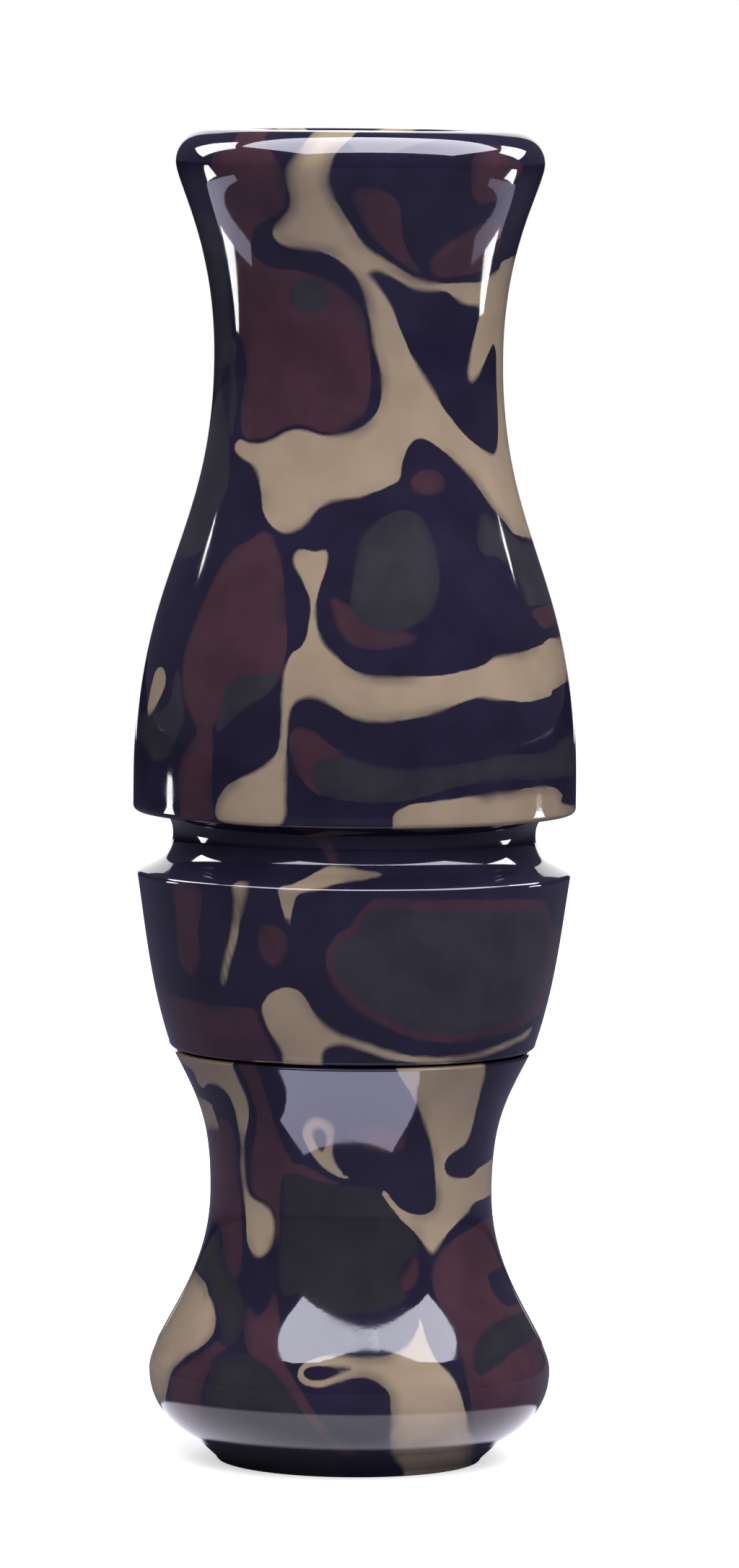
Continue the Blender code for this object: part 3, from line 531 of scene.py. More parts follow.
def across(outline, half_width, spacing):
    """A solid from a (y, z) outline in millimetres drawn out along X, with its faces cut into a grid."""
    mesh = bmesh.new()
    face = mesh.faces.new([mesh.verts.new((-half_width * MM, y * MM, z * MM)) for y, z in outline])
    made = bmesh.ops.extrude_face_region(mesh, geom=[face])
    moved = [item for item in made["geom"] if isinstance(item, bmesh.types.BMVert)]
    bmesh.ops.translate(mesh, verts=moved, vec=(2 * half_width * MM, 0, 0))
    low_z, high_z = min(z for _, z in outline), max(z for _, z in outline)
    cuts = [((x * MM, 0, 0), (1, 0, 0)) for x in np.arange(-half_width + spacing, half_width, spacing)]
    cuts += [((0, 0, z * MM), (0, 0, 1)) for z in np.arange(low_z + spacing, high_z, spacing)]
    for point, normal in cuts:
        geometry = mesh.verts[:] + mesh.edges[:] + mesh.faces[:]
        bmesh.ops.bisect_plane(mesh, geom=geometry, plane_co=point, plane_no=normal)
    return mesh


def round_edges(mesh, edges, radius, steps):
    """Rounds edges of a bmesh by a radius in millimetres."""
    bmesh.ops.bevel(mesh, geom=edges, offset=radius * MM, segments=steps, profile=0.5, affect="EDGES")


def cut(target, cutter):
    """Takes the cutter out of the target, and removes it."""
    change = target.modifiers.new("cut", "BOOLEAN")
    change.object = cutter
    change.solver = "EXACT"
    graph = bpy.context.evaluated_depsgraph_get()
    data = bpy.data.meshes.new_from_object(target.evaluated_get(graph))
    target.modifiers.clear()
    target.data = data
    bpy.data.objects.remove(cutter)


def points_of(obj):
    """An object's points in millimetres, as an array."""
    values = np.empty(len(obj.data.vertices) * 3)
    obj.data.vertices.foreach_get("co", values)
    return values.reshape(-1, 3) / MM


def paint(obj, depths):
    """Stores each camouflage layer's depths on the points of an object."""
    for layer, depth in depths.items():
        stored = obj.data.attributes.new(layer, "FLOAT", "POINT")
        stored.data.foreach_set("value", depth.astype(np.float32))


# Inside the call, in millimetres, repeated from the CAD
REED_ROOT_Z = 46.9
FACE_SLOPE = math.tan(math.radians(2.0))
TIP_FALL_START_Z, TIP_FALL_BEND_Z, TIP_FALL = 86.0, 92.0, 0.9
NOTCH_ROOT_Z = 46.6
CHANNEL_HALF_WIDTH, CHANNEL_FLOOR_Y, CHANNEL_END_Z, CHANNEL_ROUND = 3.2, 3.7, 86.5, 1.9
PASSAGE_TOP_Y, PASSAGE_Z, PASSAGE_STEP_Z = 0.4, 42.0, 47.5
CUT_MARGIN, CUT_GRID = 2.0, 0.9
NO_GRID = 100
REED_HALF_WIDTH, REED_THICKNESS, REED_TIP_ROUND, REED_EDGE = 6.3, 0.3, 5.0, 0.06
REEDS = {"lower_reed": (-0.1, 94.6), "upper_reed": (-0.5, 93.2)}
CORK_HALF_WIDTH, CORK_TOP_Z, CORK_FACE_Y, CORK_THIN, CORK_THICK = 6.0, 56.4, -0.9, 1.75, 3.95
CORK_EDGE, CORK_GRID = 0.45, 0.55
CORK_GRAIN_SCALE, CORK_GRAIN_DEPTH = 1400, 0.06
RUNNING_GAP = 0.15
RING_SEGMENTS, RING_SECTION_STEPS = 128, 24


def face_y(height):
    """The tone board's face, which falls back from the reed root towards its tip."""
    return FACE_SLOPE * (height - REED_ROOT_Z)


def cork_side_y(height):
    """The slanted side of the wedge cork."""
    share = (height - REED_ROOT_Z) / (CORK_TOP_Z - REED_ROOT_Z)
    return CORK_FACE_Y - CORK_THIN - share * (CORK_THICK - CORK_THIN)


def reed_side_cutter():
    """What the tone board lacks on the reed side, with the notch for the wedge cork."""
    far_y, far_z = -BORE_R - CUT_MARGIN, BOARD_TIP_Z + CUT_MARGIN
    tip = (face_y(BOARD_TIP_Z) + TIP_FALL, BOARD_TIP_Z)
    outline = [(face_y(NOTCH_ROOT_Z), NOTCH_ROOT_Z), (face_y(TIP_FALL_START_Z), TIP_FALL_START_Z)]
    outline += fillet(outline[-1], (face_y(TIP_FALL_BEND_Z), TIP_FALL_BEND_Z), tip, 8)
    outline += [(tip[0], far_z), (far_y, far_z), (far_y, TENON_TOP_Z)]
    outline += [(cork_side_y(z) - RUNNING_GAP, z) for z in (TENON_TOP_Z, NOTCH_ROOT_Z)]
    return finished("reed_side_cutter", across(outline, BORE_R + CUT_MARGIN, CUT_GRID))


def channel_cutter():
    """The round-floored tone channel under the reeds and its passage into the exhaust bore."""
    outline = [
        (PASSAGE_TOP_Y, PASSAGE_Z),
        (CHANNEL_FLOOR_Y, PASSAGE_Z),
        (CHANNEL_FLOOR_Y, CHANNEL_END_Z),
        (-CUT_MARGIN, CHANNEL_END_Z),
        (-CUT_MARGIN, PASSAGE_STEP_Z),
        (PASSAGE_TOP_Y, PASSAGE_STEP_Z),
    ]
    mesh = across(outline, CHANNEL_HALF_WIDTH, NO_GRID)
    rounded = []
    for edge in mesh.edges:
        a, b = (v.co / MM for v in edge.verts)
        at_side = abs(abs((a.x + b.x) / 2) - CHANNEL_HALF_WIDTH) < NEAR
        on_floor = max(abs(a.y - CHANNEL_FLOOR_Y), abs(b.y - CHANNEL_FLOOR_Y)) < NEAR
        at_end = max(abs(a.z - CHANNEL_END_Z), abs(b.z - CHANNEL_END_Z)) < NEAR
        if at_side and (on_floor or at_end):
            rounded.append(edge)
    round_edges(mesh, rounded, CHANNEL_ROUND, 8)
    return finished("channel_cutter", mesh)


def make_barrel():
    """The turned barrel. Its pattern runs on over the lip into the mouth, and in at the joint."""
    outside = barrel_outside()
    obj = turned("barrel_body", outside + barrel_inside(), closed=True)
    x, y, z = points_of(obj).T
    radius = np.hypot(x, y)
    lip_inner_r = LIP_R - LIP_ROUND
    # On the flat top the pattern's level runs from the lip's to the flare's, so that no patch ends there
    top_fall = (MOUTH_R - BORE_R - MOUTH_DEPTH) / (lip_inner_r - MOUTH_R)
    on_top = (z > LENGTH - NEAR) & (radius < lip_inner_r + NEAR)
    in_flare = (z > LENGTH - MOUTH_DEPTH) & (radius < MOUTH_R)
    on_joint = (z < BARREL_END_Z + NEAR) & (radius < COLLAR_END_R - EDGE_ROUND)
    level = np.where(on_top, LENGTH + (lip_inner_r - radius) * top_fall, z)
    level = np.where(in_flare, LENGTH - MOUTH_DEPTH + radius - BORE_R, level)
    level = np.where(on_joint, BARREL_END_Z + COLLAR_END_R - EDGE_ROUND - radius, level)
    low = BARREL_END_Z + BACK_END_MARGIN
    angle, level = carry_round(np.arctan2(x, -y), level, low, LENGTH, BARREL_BACK_SLIDE)
    paint(obj, camouflage(BARREL_PATCHES, radius_on(outside), angle, level))
    return obj


def make_insert():
    """The turned insert with its tone board cut. Its hidden part has the barrel's pattern, cut at a slant."""
    outside = insert_outside()
    obj = turned("insert_body", tenon_and_board() + outside + insert_inside(), closed=False)
    cut(obj, reed_side_cutter())
    cut(obj, channel_cutter())
    x, y, z = points_of(obj).T
    radius = np.hypot(x, y)
    outer_r = np.interp(z, [h for _, h in reversed(outside)], [r for r, _ in reversed(outside)])
    in_bore = (z < JOINT_Z - JOINT_MARGIN) & (radius < outer_r - WALL_MARGIN)
    on_foot = (z < NEAR) & (radius < FOOT_R)
    on_shoulder = np.abs(z - JOINT_Z) < NEAR
    level = np.where(in_bore, z + FOOT_R - BELL_MOUTH_R, z)
    level = np.where(on_foot, FOOT_R - radius, level)
    level = np.where(on_shoulder, JOINT_Z - (INSERT_R - radius), level)
    angle, level = carry_round(np.arctan2(x, -y), level, 0, JOINT_Z, INSERT_BACK_SLIDE)
    depths = camouflage(INSERT_PATCHES, radius_on(outside), angle, level)
    inner = (z > JOINT_Z + NEAR) | ((z > JOINT_Z - NEAR) & (radius < TENON_R + NEAR))
    slant = (x + HIDDEN_SKEW * y) / HIDDEN_GIRTH - HIDDEN_TURN
    hidden = camouflage(BARREL_PATCHES, radius_on(barrel_outside()), slant, z)
    paint(obj, {layer: np.where(inner, hidden[layer], depths[layer]) for layer in LAYERS})
    return obj


def make_ring(name, height):
    """A round rubber ring at its height on the tenon."""
    turns = [math.tau * step / RING_SECTION_STEPS for step in range(RING_SECTION_STEPS)]
    half = RING_SECTION / 2
    line = [(RING_R + half * math.cos(turn), height + half * math.sin(turn)) for turn in turns]
    return turned(name, line, closed=True, segments=RING_SEGMENTS)


def make_reed(name, near_y, tip_z):
    """A flat film reed with a rounded tip and softened edges."""
    side = (REED_HALF_WIDTH, tip_z - REED_TIP_ROUND)
    half = [(REED_HALF_WIDTH, REED_ROOT_Z), side]
    half += fillet(side, (REED_HALF_WIDTH, tip_z), (0, tip_z), 20)
    outline = half + [(-x, z) for x, z in reversed(half[:-1])]
    mesh = bmesh.new()
    face = mesh.faces.new([mesh.verts.new((x * MM, near_y * MM, z * MM)) for x, z in outline])
    made = bmesh.ops.extrude_face_region(mesh, geom=[face])
    moved = [item for item in made["geom"] if isinstance(item, bmesh.types.BMVert)]
    bmesh.ops.translate(mesh, verts=moved, vec=(0, -REED_THICKNESS * MM, 0))
    rims = [edge for edge in mesh.edges if abs(edge.verts[0].co.y - edge.verts[1].co.y) < NEAR * MM]
    round_edges(mesh, rims, REED_EDGE, 3)
    return finished(name, mesh)


def make_cork():
    """The wedge that holds the reeds down, with rounded edges and a slightly uneven, crumbly surface."""
    outline = [(CORK_FACE_Y, REED_ROOT_Z), (CORK_FACE_Y, CORK_TOP_Z)]
    outline += [(cork_side_y(z), z) for z in (CORK_TOP_Z, REED_ROOT_Z)]
    mesh = across(outline, CORK_HALF_WIDTH, NO_GRID)
    round_edges(mesh, mesh.edges[:], CORK_EDGE, 5)
    for _ in range(4):
        long_edges = [edge for edge in mesh.edges if edge.calc_length() > CORK_GRID * MM]
        bmesh.ops.subdivide_edges(mesh, edges=long_edges, cuts=1, use_grid_fill=True)
    mesh.normal_update()
    for vertex in mesh.verts:
        grain = noise.fractal(vertex.co * CORK_GRAIN_SCALE, 1.0, 2.0, 3)
        vertex.co -= vertex.normal * max(0, grain) * CORK_GRAIN_DEPTH * MM
    return finished("cork_wedge", mesh, NO_SHARP_EDGE)


class Nodes:
    """Short ways to add nodes to a tree. An input is a value or another node's output. A noise's scale is in
    waves per metre, and most of its values lie between 0.3 and 0.7."""

    def __init__(self, tree):
        self.tree = tree

    def add(self, kind, inputs=None, **settings):
        """A node with its settings, and with its inputs by name or by number."""
        made = self.tree.nodes.new(kind)
        for key, value in settings.items():
            setattr(made, key, value)
        for key, value in (inputs or {}).items():
            if isinstance(value, bpy.types.NodeSocket):
                self.tree.links.new(value, made.inputs[key])
            else:
                made.inputs[key].default_value = value
        return made

    def math(self, operation, *values):
        """The result of one step of arithmetic."""
        return self.add("ShaderNodeMath", dict(enumerate(values)), operation=operation).outputs[0]

    def noise(self, scale, detail=2.0, density=(1, 1, 1)):
        """Noise through the piece, which can be denser or sparser along an axis."""
        place = self.add("ShaderNodeTexCoord").outputs["Object"]
        if density != (1, 1, 1):
            place = self.add("ShaderNodeMapping", {"Vector": place, "Scale": density}).outputs["Vector"]
        inputs = {"Vector": place, "Scale": scale, "Detail": detail}
        return self.add("ShaderNodeTexNoise", inputs).outputs[0]

    def waves(self, scale, height):
        """Noise of a height, above and below nothing."""
        return self.math("MULTIPLY", self.math("SUBTRACT", self.noise(scale), 0.5), height)

    def spread(self, value, low, high, to_low=0.0, to_high=1.0, smooth=True):
        """Carries a value from between low and high over to between two others, and keeps it there."""
        inputs = {"Value": value, "From Min": low, "From Max": high, "To Min": to_low, "To Max": to_high}
        kind = "SMOOTHSTEP" if smooth else "LINEAR"
        return self.add("ShaderNodeMapRange", inputs, interpolation_type=kind).outputs["Result"]

    def mix(self, share, first, second):
        """A colour between two others. This node's sockets repeat their names, so they go by number."""
        ends = [end if isinstance(end, bpy.types.NodeSocket) else (*end, 1) for end in (first, second)]
        inputs = {0: share, 6: ends[0], 7: ends[1]}
        return self.add("ShaderNodeMix", inputs, data_type="RGBA").outputs[2]

    def bump(self, height, strength, distance):
        """A normal that follows a height, with the distance in metres."""
        inputs = {"Height": height, "Strength": strength, "Distance": distance}
        return self.add("ShaderNodeBump", inputs).outputs["Normal"]

    def feed(self, shader, colour, roughness, normal):
        """Links what changes over the surface to its shader."""
        for key, value in (("Base Color", colour), ("Roughness", roughness), ("Normal", normal)):
            self.tree.links.new(value, shader.inputs[key])


def new_group(name, inputs, outputs):
    """An empty shader node group with float inputs {name: default} and outputs {name: socket type}."""
    tree = bpy.data.node_groups.new(name, "ShaderNodeTree")
    for label, value in inputs.items():
        socket = tree.interface.new_socket(label, in_out="INPUT", socket_type="NodeSocketFloat")
        socket.default_value = value
    for label, kind in outputs.items():
        tree.interface.new_socket(label, in_out="OUTPUT", socket_type=kind)
    nodes = Nodes(tree)
    return nodes, nodes.add("NodeGroupInput").outputs, nodes.add("NodeGroupOutput").inputs


# Linear colours, the darker and the lighter end of each
GROUND = ((0.0125, 0.0105, 0.026), (0.0165, 0.0145, 0.034))
TINTS = {
    "brown": ((0.044, 0.021, 0.030), (0.060, 0.028, 0.039)),
    "olive": ((0.0250, 0.0240, 0.0315), (0.0345, 0.0335, 0.042)),
    "tan": ((0.30, 0.232, 0.162), (0.34, 0.265, 0.188)),
    "black": GROUND,
}
DEEP_OLIVE = (0.0115, 0.0125, 0.0115)
FILM, FILM_GRAIN = ((0.56, 0.55, 0.49), (0.68, 0.66, 0.57)), (0.45, 0.44, 0.39)
CORK, CORK_DUST, CORK_PIT = ((0.33, 0.19, 0.09), (0.52, 0.34, 0.18)), (0.40, 0.24, 0.11), (0.10, 0.05, 0.022)
RUBBER = ((0.010, 0.010, 0.011), (0.024, 0.024, 0.025))
ACRYLIC_IOR, FILM_IOR, FILM_CLEAR = 1.49, 1.57, 0.3
GRANULE_SCALE = 1500.0
# The camouflage's edges, in millimetres: how far they wander in broad and in fine waves, how soft they are
# where crisp and where smoky, and how far in the ground colour seeps, with its share at the edge
WANDER_BROAD, WANDER_FINE = 0.3, 0.08
EDGE_CRISP, EDGE_SMOKY = 0.06, 0.34
SEEP_REACH, SEEP_SHARE = 1.1, 0.5
# The roughness of the polish, at its best and where it is dull
POLISH_BEST, POLISH_DULL = 0.035, 0.085


def camouflage_group():
    """Turns the stored layer depths into one colour, with wandering edges that are crisp here and smoky
    there."""
    nodes, inputs, outputs = new_group("camouflage", {"Olive Depth": 0.0}, {"Color": "NodeSocketColor"})
    wander = nodes.math("ADD", nodes.waves(420, WANDER_BROAD), nodes.waves(2600, WANDER_FINE))
    softness = nodes.spread(nodes.noise(230, 1), 0.38, 0.68, EDGE_CRISP, EDGE_SMOKY)
    mottle = nodes.spread(nodes.noise(260, 5), 0.3, 0.7)
    colour = nodes.mix(mottle, *GROUND)
    smoke = nodes.spread(nodes.noise(150), 0.42, 0.66)
    for layer in LAYERS:
        depth = nodes.add("ShaderNodeAttribute", attribute_name=layer).outputs["Fac"]
        wandered = nodes.math("ADD", depth, wander)
        mask = nodes.spread(wandered, nodes.math("MULTIPLY", softness, -1.0), softness)
        tint = nodes.mix(mottle, *TINTS[layer])
        if layer == "olive":
            tint = nodes.mix(inputs["Olive Depth"], tint, DEEP_OLIVE)
        if layer != "black":
            seep = nodes.math("MULTIPLY", nodes.spread(wandered, 0.0, SEEP_REACH, SEEP_SHARE, 0.0), smoke)
            tint = nodes.mix(seep, tint, GROUND[1])
        colour = nodes.mix(mask, colour, tint)
    nodes.tree.links.new(colour, outputs["Color"])
    return nodes.tree


def polish_group():
    """The polished surface: faint waviness left by the buffing wheel, and fine scratches round the axis that
    dull it a little."""
    kinds = {"Roughness": "NodeSocketFloat", "Height": "NodeSocketFloat"}
    nodes, inputs, outputs = new_group("polish", {"Scratches": 0.0}, kinds)
    dull = nodes.spread(nodes.noise(300, 4), 0.35, 0.75, POLISH_BEST, POLISH_DULL)
    lines = nodes.noise(900, 3, density=(1, 1, 9))
    scratches = nodes.spread(lines, 0.62, 0.75, 0.0, inputs["Scratches"])
    nodes.tree.links.new(nodes.math("ADD", dull, scratches), outputs["Roughness"])
    ripple = nodes.math("MULTIPLY", nodes.noise(2200), 0.05)
    nodes.tree.links.new(nodes.math("ADD", nodes.noise(170), ripple), outputs["Height"])
    return nodes.tree


def new_material(name):
    """A material with its shader, and the way to add nodes to it."""
    made = bpy.data.materials.new(name)
    made.use_nodes = True
    return made, Nodes(made.node_tree), made.node_tree.nodes["Principled BSDF"]


def acrylic_material(name, camouflage_tree, polish_tree, olive_depth, scratches):
    """Polished acrylic that shows the camouflage stored on its piece."""
    made, nodes, shader = new_material(name)
    pattern = nodes.add("ShaderNodeGroup", {"Olive Depth": olive_depth}, node_tree=camouflage_tree)
    polish = nodes.add("ShaderNodeGroup", {"Scratches": scratches}, node_tree=polish_tree)
    bump = nodes.bump(polish.outputs["Height"], strength=0.05, distance=0.0004)
    nodes.feed(shader, pattern.outputs["Color"], polish.outputs["Roughness"], bump)
    shader.inputs["IOR"].default_value = ACRYLIC_IOR
    return made


def film_material():
    """Frosted clear polyester: pale, a little milky, with a fine lengthwise grain and thumbed, duller
    patches."""
    made, nodes, shader = new_material("reed_film")
    grain = nodes.noise(2400, 3, density=(1, 1, 0.06))
    cloud = nodes.spread(nodes.noise(220, 3), 0.35, 0.7)
    colour = nodes.mix(cloud, *FILM)
    colour = nodes.mix(nodes.spread(grain, 0.4, 0.8, 0.0, 0.12), colour, FILM_GRAIN)
    thumbed = nodes.spread(cloud, 0.0, 1.0, 0.26, 0.4)
    roughness = nodes.math("ADD", thumbed, nodes.spread(grain, 0.4, 0.7, 0.0, 0.1))
    nodes.feed(shader, colour, roughness, nodes.bump(grain, strength=0.05, distance=0.0001))
    shader.inputs["Transmission Weight"].default_value = FILM_CLEAR
    shader.inputs["IOR"].default_value = FILM_IOR
    return made


def cork_material():
    """Pressed cork: tan granules of differing tint with dark pits and seams between them."""
    made, nodes, shader = new_material("cork")
    place = nodes.add("ShaderNodeTexCoord").outputs["Object"]
    inputs = {"Vector": place, "Scale": GRANULE_SCALE}
    granules = nodes.add("ShaderNodeTexVoronoi", inputs)
    seams = nodes.add("ShaderNodeTexVoronoi", inputs, feature="DISTANCE_TO_EDGE")
    split = nodes.add("ShaderNodeSeparateColor", {"Color": granules.outputs["Color"]}).outputs[0]
    colour = nodes.mix(split, *CORK)
    colour = nodes.mix(nodes.spread(nodes.noise(3800, 3), 0.4, 0.7, 0.0, 0.5), colour, CORK_DUST)
    gap = nodes.spread(seams.outputs["Distance"], 0.0, 0.09, 0.75, 0.0)
    pits = nodes.spread(nodes.noise(900, 4), 0.62, 0.72)
    dark = nodes.math("MAXIMUM", gap, pits)
    colour = nodes.mix(dark, colour, CORK_PIT)
    height = nodes.math("SUBTRACT", nodes.math("MULTIPLY", nodes.noise(2600, 4), 0.5), dark)
    roughness = nodes.spread(dark, 0.0, 1.0, 0.82, 0.95)
    nodes.feed(shader, colour, roughness, nodes.bump(height, strength=0.6, distance=0.0002))
    return made


def rubber_material():
    """Black rubber with a light bloom and a faint moulded texture."""
    made, nodes, shader = new_material("ring_rubber")
    bloom = nodes.spread(nodes.noise(700, 4), 0.4, 0.75)
    colour = nodes.mix(bloom, *RUBBER)
    roughness = nodes.spread(bloom, 0.0, 1.0, 0.42, 0.62)
    nodes.feed(shader, colour, roughness, nodes.bump(nodes.noise(5200), strength=0.2, distance=0.00005))
    return made


def dress(obj, body, node, material):
    """Gives a piece its finish and its place in the frame."""
    obj.data.materials.clear()
    obj.data.materials.append(material)
    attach(obj, body)
    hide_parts(node)


camouflage_tree, polish_tree = camouflage_group(), polish_group()
film, rubber = film_material(), rubber_material()
barrel, insert = make_barrel(), make_insert()
for piece, node, olive_depth, scratches in ((barrel, "barrel", 0.0, 0.05), (insert, "insert", 0.45, 0.05)):
    slot = node + "_acrylic"
    acrylic = acrylic_material(slot, camouflage_tree, polish_tree, olive_depth, scratches)
    dress(piece, node, node, acrylic)
for node, height in RING_HEIGHTS.items():
    dress(make_ring(node + "_round", height), "seal_rings", node, rubber)
for node, (near_y, tip_z) in REEDS.items():
    dress(make_reed(node + "_film", near_y, tip_z), node, node, film)
dress(make_cork(), "wedge_cork", "wedge_cork", cork_material())

# Stage: a white floor that runs out of sight, a big softbox overhead, fill light from the front and lamps
# at both sides. Distances on the floor are in metres from the axis.
FLOOR_SIZE = 40.0
FLOOR_GAP = 0.00002
FLOOR_FADE, FLOOR_NEAR_GLOW = (0.06, 0.3), 0.55
# Where the ring close to the foot fades out. It glows for glossy rays alone, a painted reflection on the bell
FLOOR_PAINTED_REFLECTION = (0.0225, 0.0245)
# Where that ring starts. Inside it the floor stays dim in reflections, a painted contact shadow
FLOOR_PAINTED_CONTACT_SHADOW = (0.0122, 0.0132)
# A wider ring that glows for diffuse rays alone, with its start, its end and its strength: painted light
# thrown up on the bell
FLOOR_PAINTED_BOUNCE_START, FLOOR_PAINTED_BOUNCE_END, FLOOR_PAINTED_BOUNCE = (0.0148, 0.0175), (0.026, 0.05), 0.75
WHITE = (1, 1, 1)
PAPER = ((0.80, 0.80, 0.80), (0.84, 0.84, 0.84))
# The floor's colour to all rays but the camera's, and the colour of the painted reflection's glow
FLOOR_DIM, PAINTED_REFLECTION_TINT = (0.10, 0.098, 0.15), (0.80, 0.78, 1.0)
STUDIO_DIM, STUDIO_TINT = 0.086, (0.7, 0.68, 1.0)
LAVENDER, COOL, COOL_WHITE, WARM = (0.76, 0.74, 1), (0.87, 0.87, 1), (0.97, 0.97, 1), (1, 0.9, 0.76)

# The camera, with its aim in millimetres
CAMERA_AIM, CAMERA_DISTANCE = (1.2, 0, 55.3), 0.792
CAMERA_ELEVATION, CAMERA_LEAN = math.radians(4.54), 0.0094
CAMERA_LENS, CAMERA_SENSOR = 223.6, 36


def floor_material():
    """White, with the call's own shadow near it. Further off, where no lamp reaches, the camera sees plain
    white. In the polished acrylic the floor is dim, but for a ring close to the foot that is pale and glows,
    a painted reflection, and is left dim right at the foot, a painted contact shadow. A wider ring glows for
    diffuse rays alone, painted light thrown up on the bell."""
    made, nodes, shader = new_material("white_floor")
    shader.inputs["Roughness"].default_value = 0.9
    shader.inputs["Specular IOR Level"].default_value = 0.0
    place = nodes.add("ShaderNodeTexCoord").outputs["Object"]
    distance = nodes.add("ShaderNodeVectorMath", {0: place}, operation="LENGTH").outputs["Value"]
    rays = nodes.add("ShaderNodeLightPath").outputs
    seen = nodes.math("MAXIMUM", rays["Is Camera Ray"], rays["Is Transmission Ray"])
    paper = nodes.mix(nodes.noise(40, 3), *PAPER)
    # Painted contact shadow: the glowing ring stops short of the foot
    outside_painted_shadow = nodes.spread(distance, *FLOOR_PAINTED_CONTACT_SHADOW)
    near = nodes.math("MULTIPLY", nodes.spread(distance, *FLOOR_PAINTED_REFLECTION, 1.0, 0.0), outside_painted_shadow)
    # Painted reflection: the ring is pale and glows for glossy rays alone
    painted_reflection = nodes.math("MULTIPLY", near, rays["Is Glossy Ray"])
    paper = nodes.mix(nodes.math("MAXIMUM", seen, painted_reflection), FLOOR_DIM, paper)
    nodes.tree.links.new(paper, shader.inputs["Base Color"])
    # The painted reflection's glow is tinted
    tint = nodes.mix(rays["Is Glossy Ray"], WHITE, PAINTED_REFLECTION_TINT)
    nodes.tree.links.new(tint, shader.inputs["Emission Color"])
    glow = nodes.math("MULTIPLY", nodes.spread(distance, *FLOOR_FADE, FLOOR_NEAR_GLOW, 1.0), seen)
    # Painted bounce light: a wider ring glows for diffuse rays alone
    ring_start = nodes.spread(distance, *FLOOR_PAINTED_BOUNCE_START)
    ring = nodes.math("MULTIPLY", ring_start, nodes.spread(distance, *FLOOR_PAINTED_BOUNCE_END, FLOOR_PAINTED_BOUNCE, 0.0))
    painted_bounce = nodes.math("MULTIPLY", ring, rays["Is Diffuse Ray"])
    strength = nodes.math("MAXIMUM", nodes.math("MAXIMUM", glow, painted_reflection), painted_bounce)
    nodes.tree.links.new(strength, shader.inputs["Emission Strength"])
    return made


def make_floor():
    """A wide, flat floor just under the foot."""
    mesh = bmesh.new()
    bmesh.ops.create_grid(mesh, x_segments=8, y_segments=8, size=FLOOR_SIZE / 2)
    floor = finished("floor", mesh)
    floor.location.z = -FLOOR_GAP
    floor.data.materials.append(floor_material())


def make_world():
    """White to the camera and through clear film, a dim studio to everything else."""
    world = bpy.data.worlds.new("studio")
    bpy.context.scene.world = world
    world.use_nodes = True
    nodes = Nodes(world.node_tree)
    rays = nodes.add("ShaderNodeLightPath").outputs
    seen = nodes.math("MAXIMUM", rays["Is Camera Ray"], rays["Is Transmission Ray"])
    background = world.node_tree.nodes["Background"]
    world.node_tree.links.new(nodes.mix(seen, STUDIO_TINT, WHITE), background.inputs["Color"])
    strength = nodes.spread(seen, 0.0, 1.0, STUDIO_DIM, 1.0, smooth=False)
    world.node_tree.links.new(strength, background.inputs["Strength"])


def softbox(name, start, end, width, facing, radiance, colour=WHITE, seen="reflections", only=None):
    """A flat lamp of a width between the middles of its two ends, turned towards a point, all in
    millimetres. It is for the reflections alone or for the fill light alone, and can be for one piece
    only."""
    start, end = Vector(start), Vector(end)
    middle = (start + end) / 2
    long_axis = (end - start).normalized()
    back = (middle - Vector(facing)).normalized()
    short_axis = back.cross(long_axis).normalized()
    back = long_axis.cross(short_axis)
    data = bpy.data.lights.new(name, "AREA")
    data.shape = "RECTANGLE"
    data.size, data.size_y = (end - start).length * MM, width * MM
    data.energy = radiance * math.pi * data.size * data.size_y
    data.color = colour
    lamp = bpy.data.objects.new(name, data)
    lamp.location = middle * MM
    lamp.rotation_mode = "QUATERNION"
    lamp.rotation_quaternion = Matrix((long_axis, short_axis, back)).transposed().to_quaternion()
    lamp.visible_camera = False
    lamp.visible_diffuse = seen == "fill"
    lamp.visible_glossy = seen == "reflections"
    if only:
        receivers = bpy.data.collections.new(name + "_receivers")
        receivers.objects.link(only)
        lamp.light_linking.receiver_collection = receivers
    bpy.context.scene.collection.objects.link(lamp)


def side_lamps(name, side, lip_share, strip_end):
    """One side's lamps: fill light from behind, the barrel's highlight on the lip, and the long one down
    its neck and swell."""
    start, end = (side * 260, -30, 330), (side * 260, 210, 330)
    softbox(name + "_rear", start, end, width=260, facing=(0, 0, 70), radiance=5, seen="fill")
    start = Vector((side * 231, 152, 175))
    end = start.lerp(Vector((side * 243, 47, 353)), lip_share)
    softbox(name + "_lip", start, end, width=105, facing=(0, 0, 107), radiance=15, only=barrel)
    outward = Vector((side * 0.934, 0.358, 0))
    start, end = (outward * length + Vector((0, 0, 1)) for length in (285, strip_end))
    above = (start + end) / 2 + Vector((0, 0, 50))
    softbox(name + "_strip", start, end, width=60, facing=above, radiance=13, only=barrel)


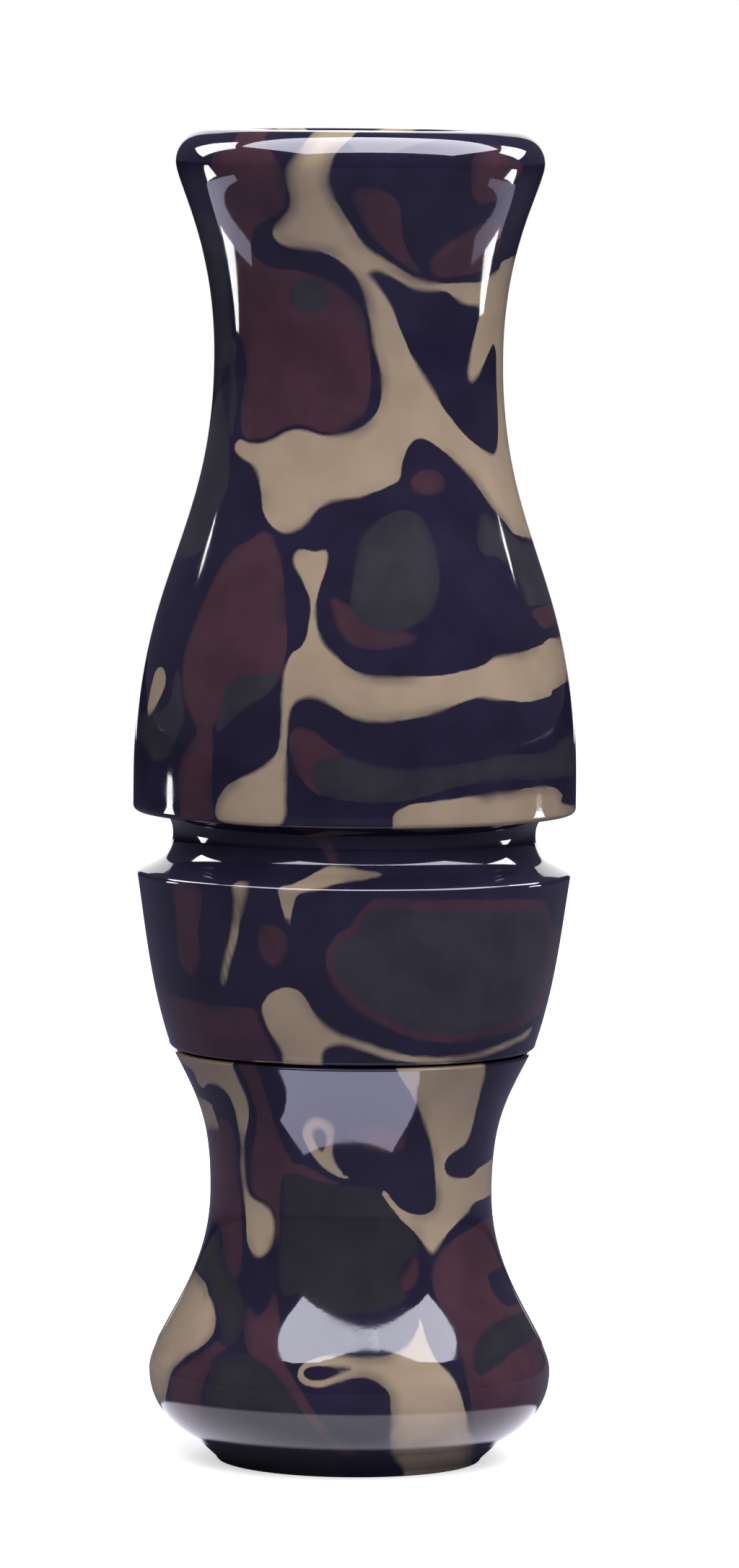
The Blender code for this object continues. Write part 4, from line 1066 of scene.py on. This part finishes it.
def make_lamps():
    """The studio's lamps. The cards are small ones close to the call, each for a highlight on one piece."""
    softbox("overhead", (-617, -304, 700), (905, -68, 700),
            width=833, facing=(144, -186, 0), radiance=12, colour=COOL)
    for width in (60, 140, 280):
        softbox(f"overhead_core_{width}", (95, -590, 695), (95, 220, 695),
                width=width, facing=(95, -185, 0), radiance=1.8)
    softbox("backdrop", (-260, 900, 300), (260, 900, 300),
            width=600, facing=(0, 0, 300), radiance=1.6)
    softbox("fill", (-180, -440, 370), (400, -440, 370),
            width=360, facing=(0, 0, 60), radiance=5.6, colour=COOL_WHITE, seen="fill")
    softbox("top_fill", (-160, -30, 420), (240, -30, 420),
            width=300, facing=(0, 0, 60), radiance=1.6, colour=WARM, seen="fill")
    side_lamps("left", -1, lip_share=0.8, strip_end=900)
    side_lamps("right", 1, lip_share=0.5, strip_end=650)
    softbox("left_card", (-108, -10, 60), (-106, 55, 60),
            width=20, facing=(-107, 22, 110), radiance=3, colour=LAVENDER, only=barrel)
    softbox("right_card", (107, -2, 60), (108, 60, 60),
            width=20, facing=(107, 29, 110), radiance=1.7, colour=LAVENDER, only=barrel)
    softbox("front_card", (-21, -25, 15), (17, -25, 15),
            width=13.5, facing=(-2, -25, 50), radiance=5.8, colour=LAVENDER, only=insert)


def make_camera():
    """The photograph's view: from the front, a little above, with the call leaning slightly to the right."""
    aim = Vector(CAMERA_AIM) * MM
    back = Vector((0, -math.cos(CAMERA_ELEVATION), math.sin(CAMERA_ELEVATION)))
    data = bpy.data.cameras.new("camera")
    data.sensor_fit = "VERTICAL"
    data.sensor_height = CAMERA_SENSOR
    data.lens = CAMERA_LENS
    camera = bpy.data.objects.new("camera", data)
    camera.location = aim + CAMERA_DISTANCE * back
    camera.rotation_mode = "QUATERNION"
    facing = (aim - camera.location).to_track_quat("-Z", "Y")
    camera.rotation_quaternion = facing @ Quaternion((0, 0, 1), CAMERA_LEAN)
    bpy.context.scene.collection.objects.link(camera)
    bpy.context.scene.camera = camera


make_floor()
make_world()
make_lamps()
make_camera()
bpy.context.scene.view_settings.view_transform = "Standard"
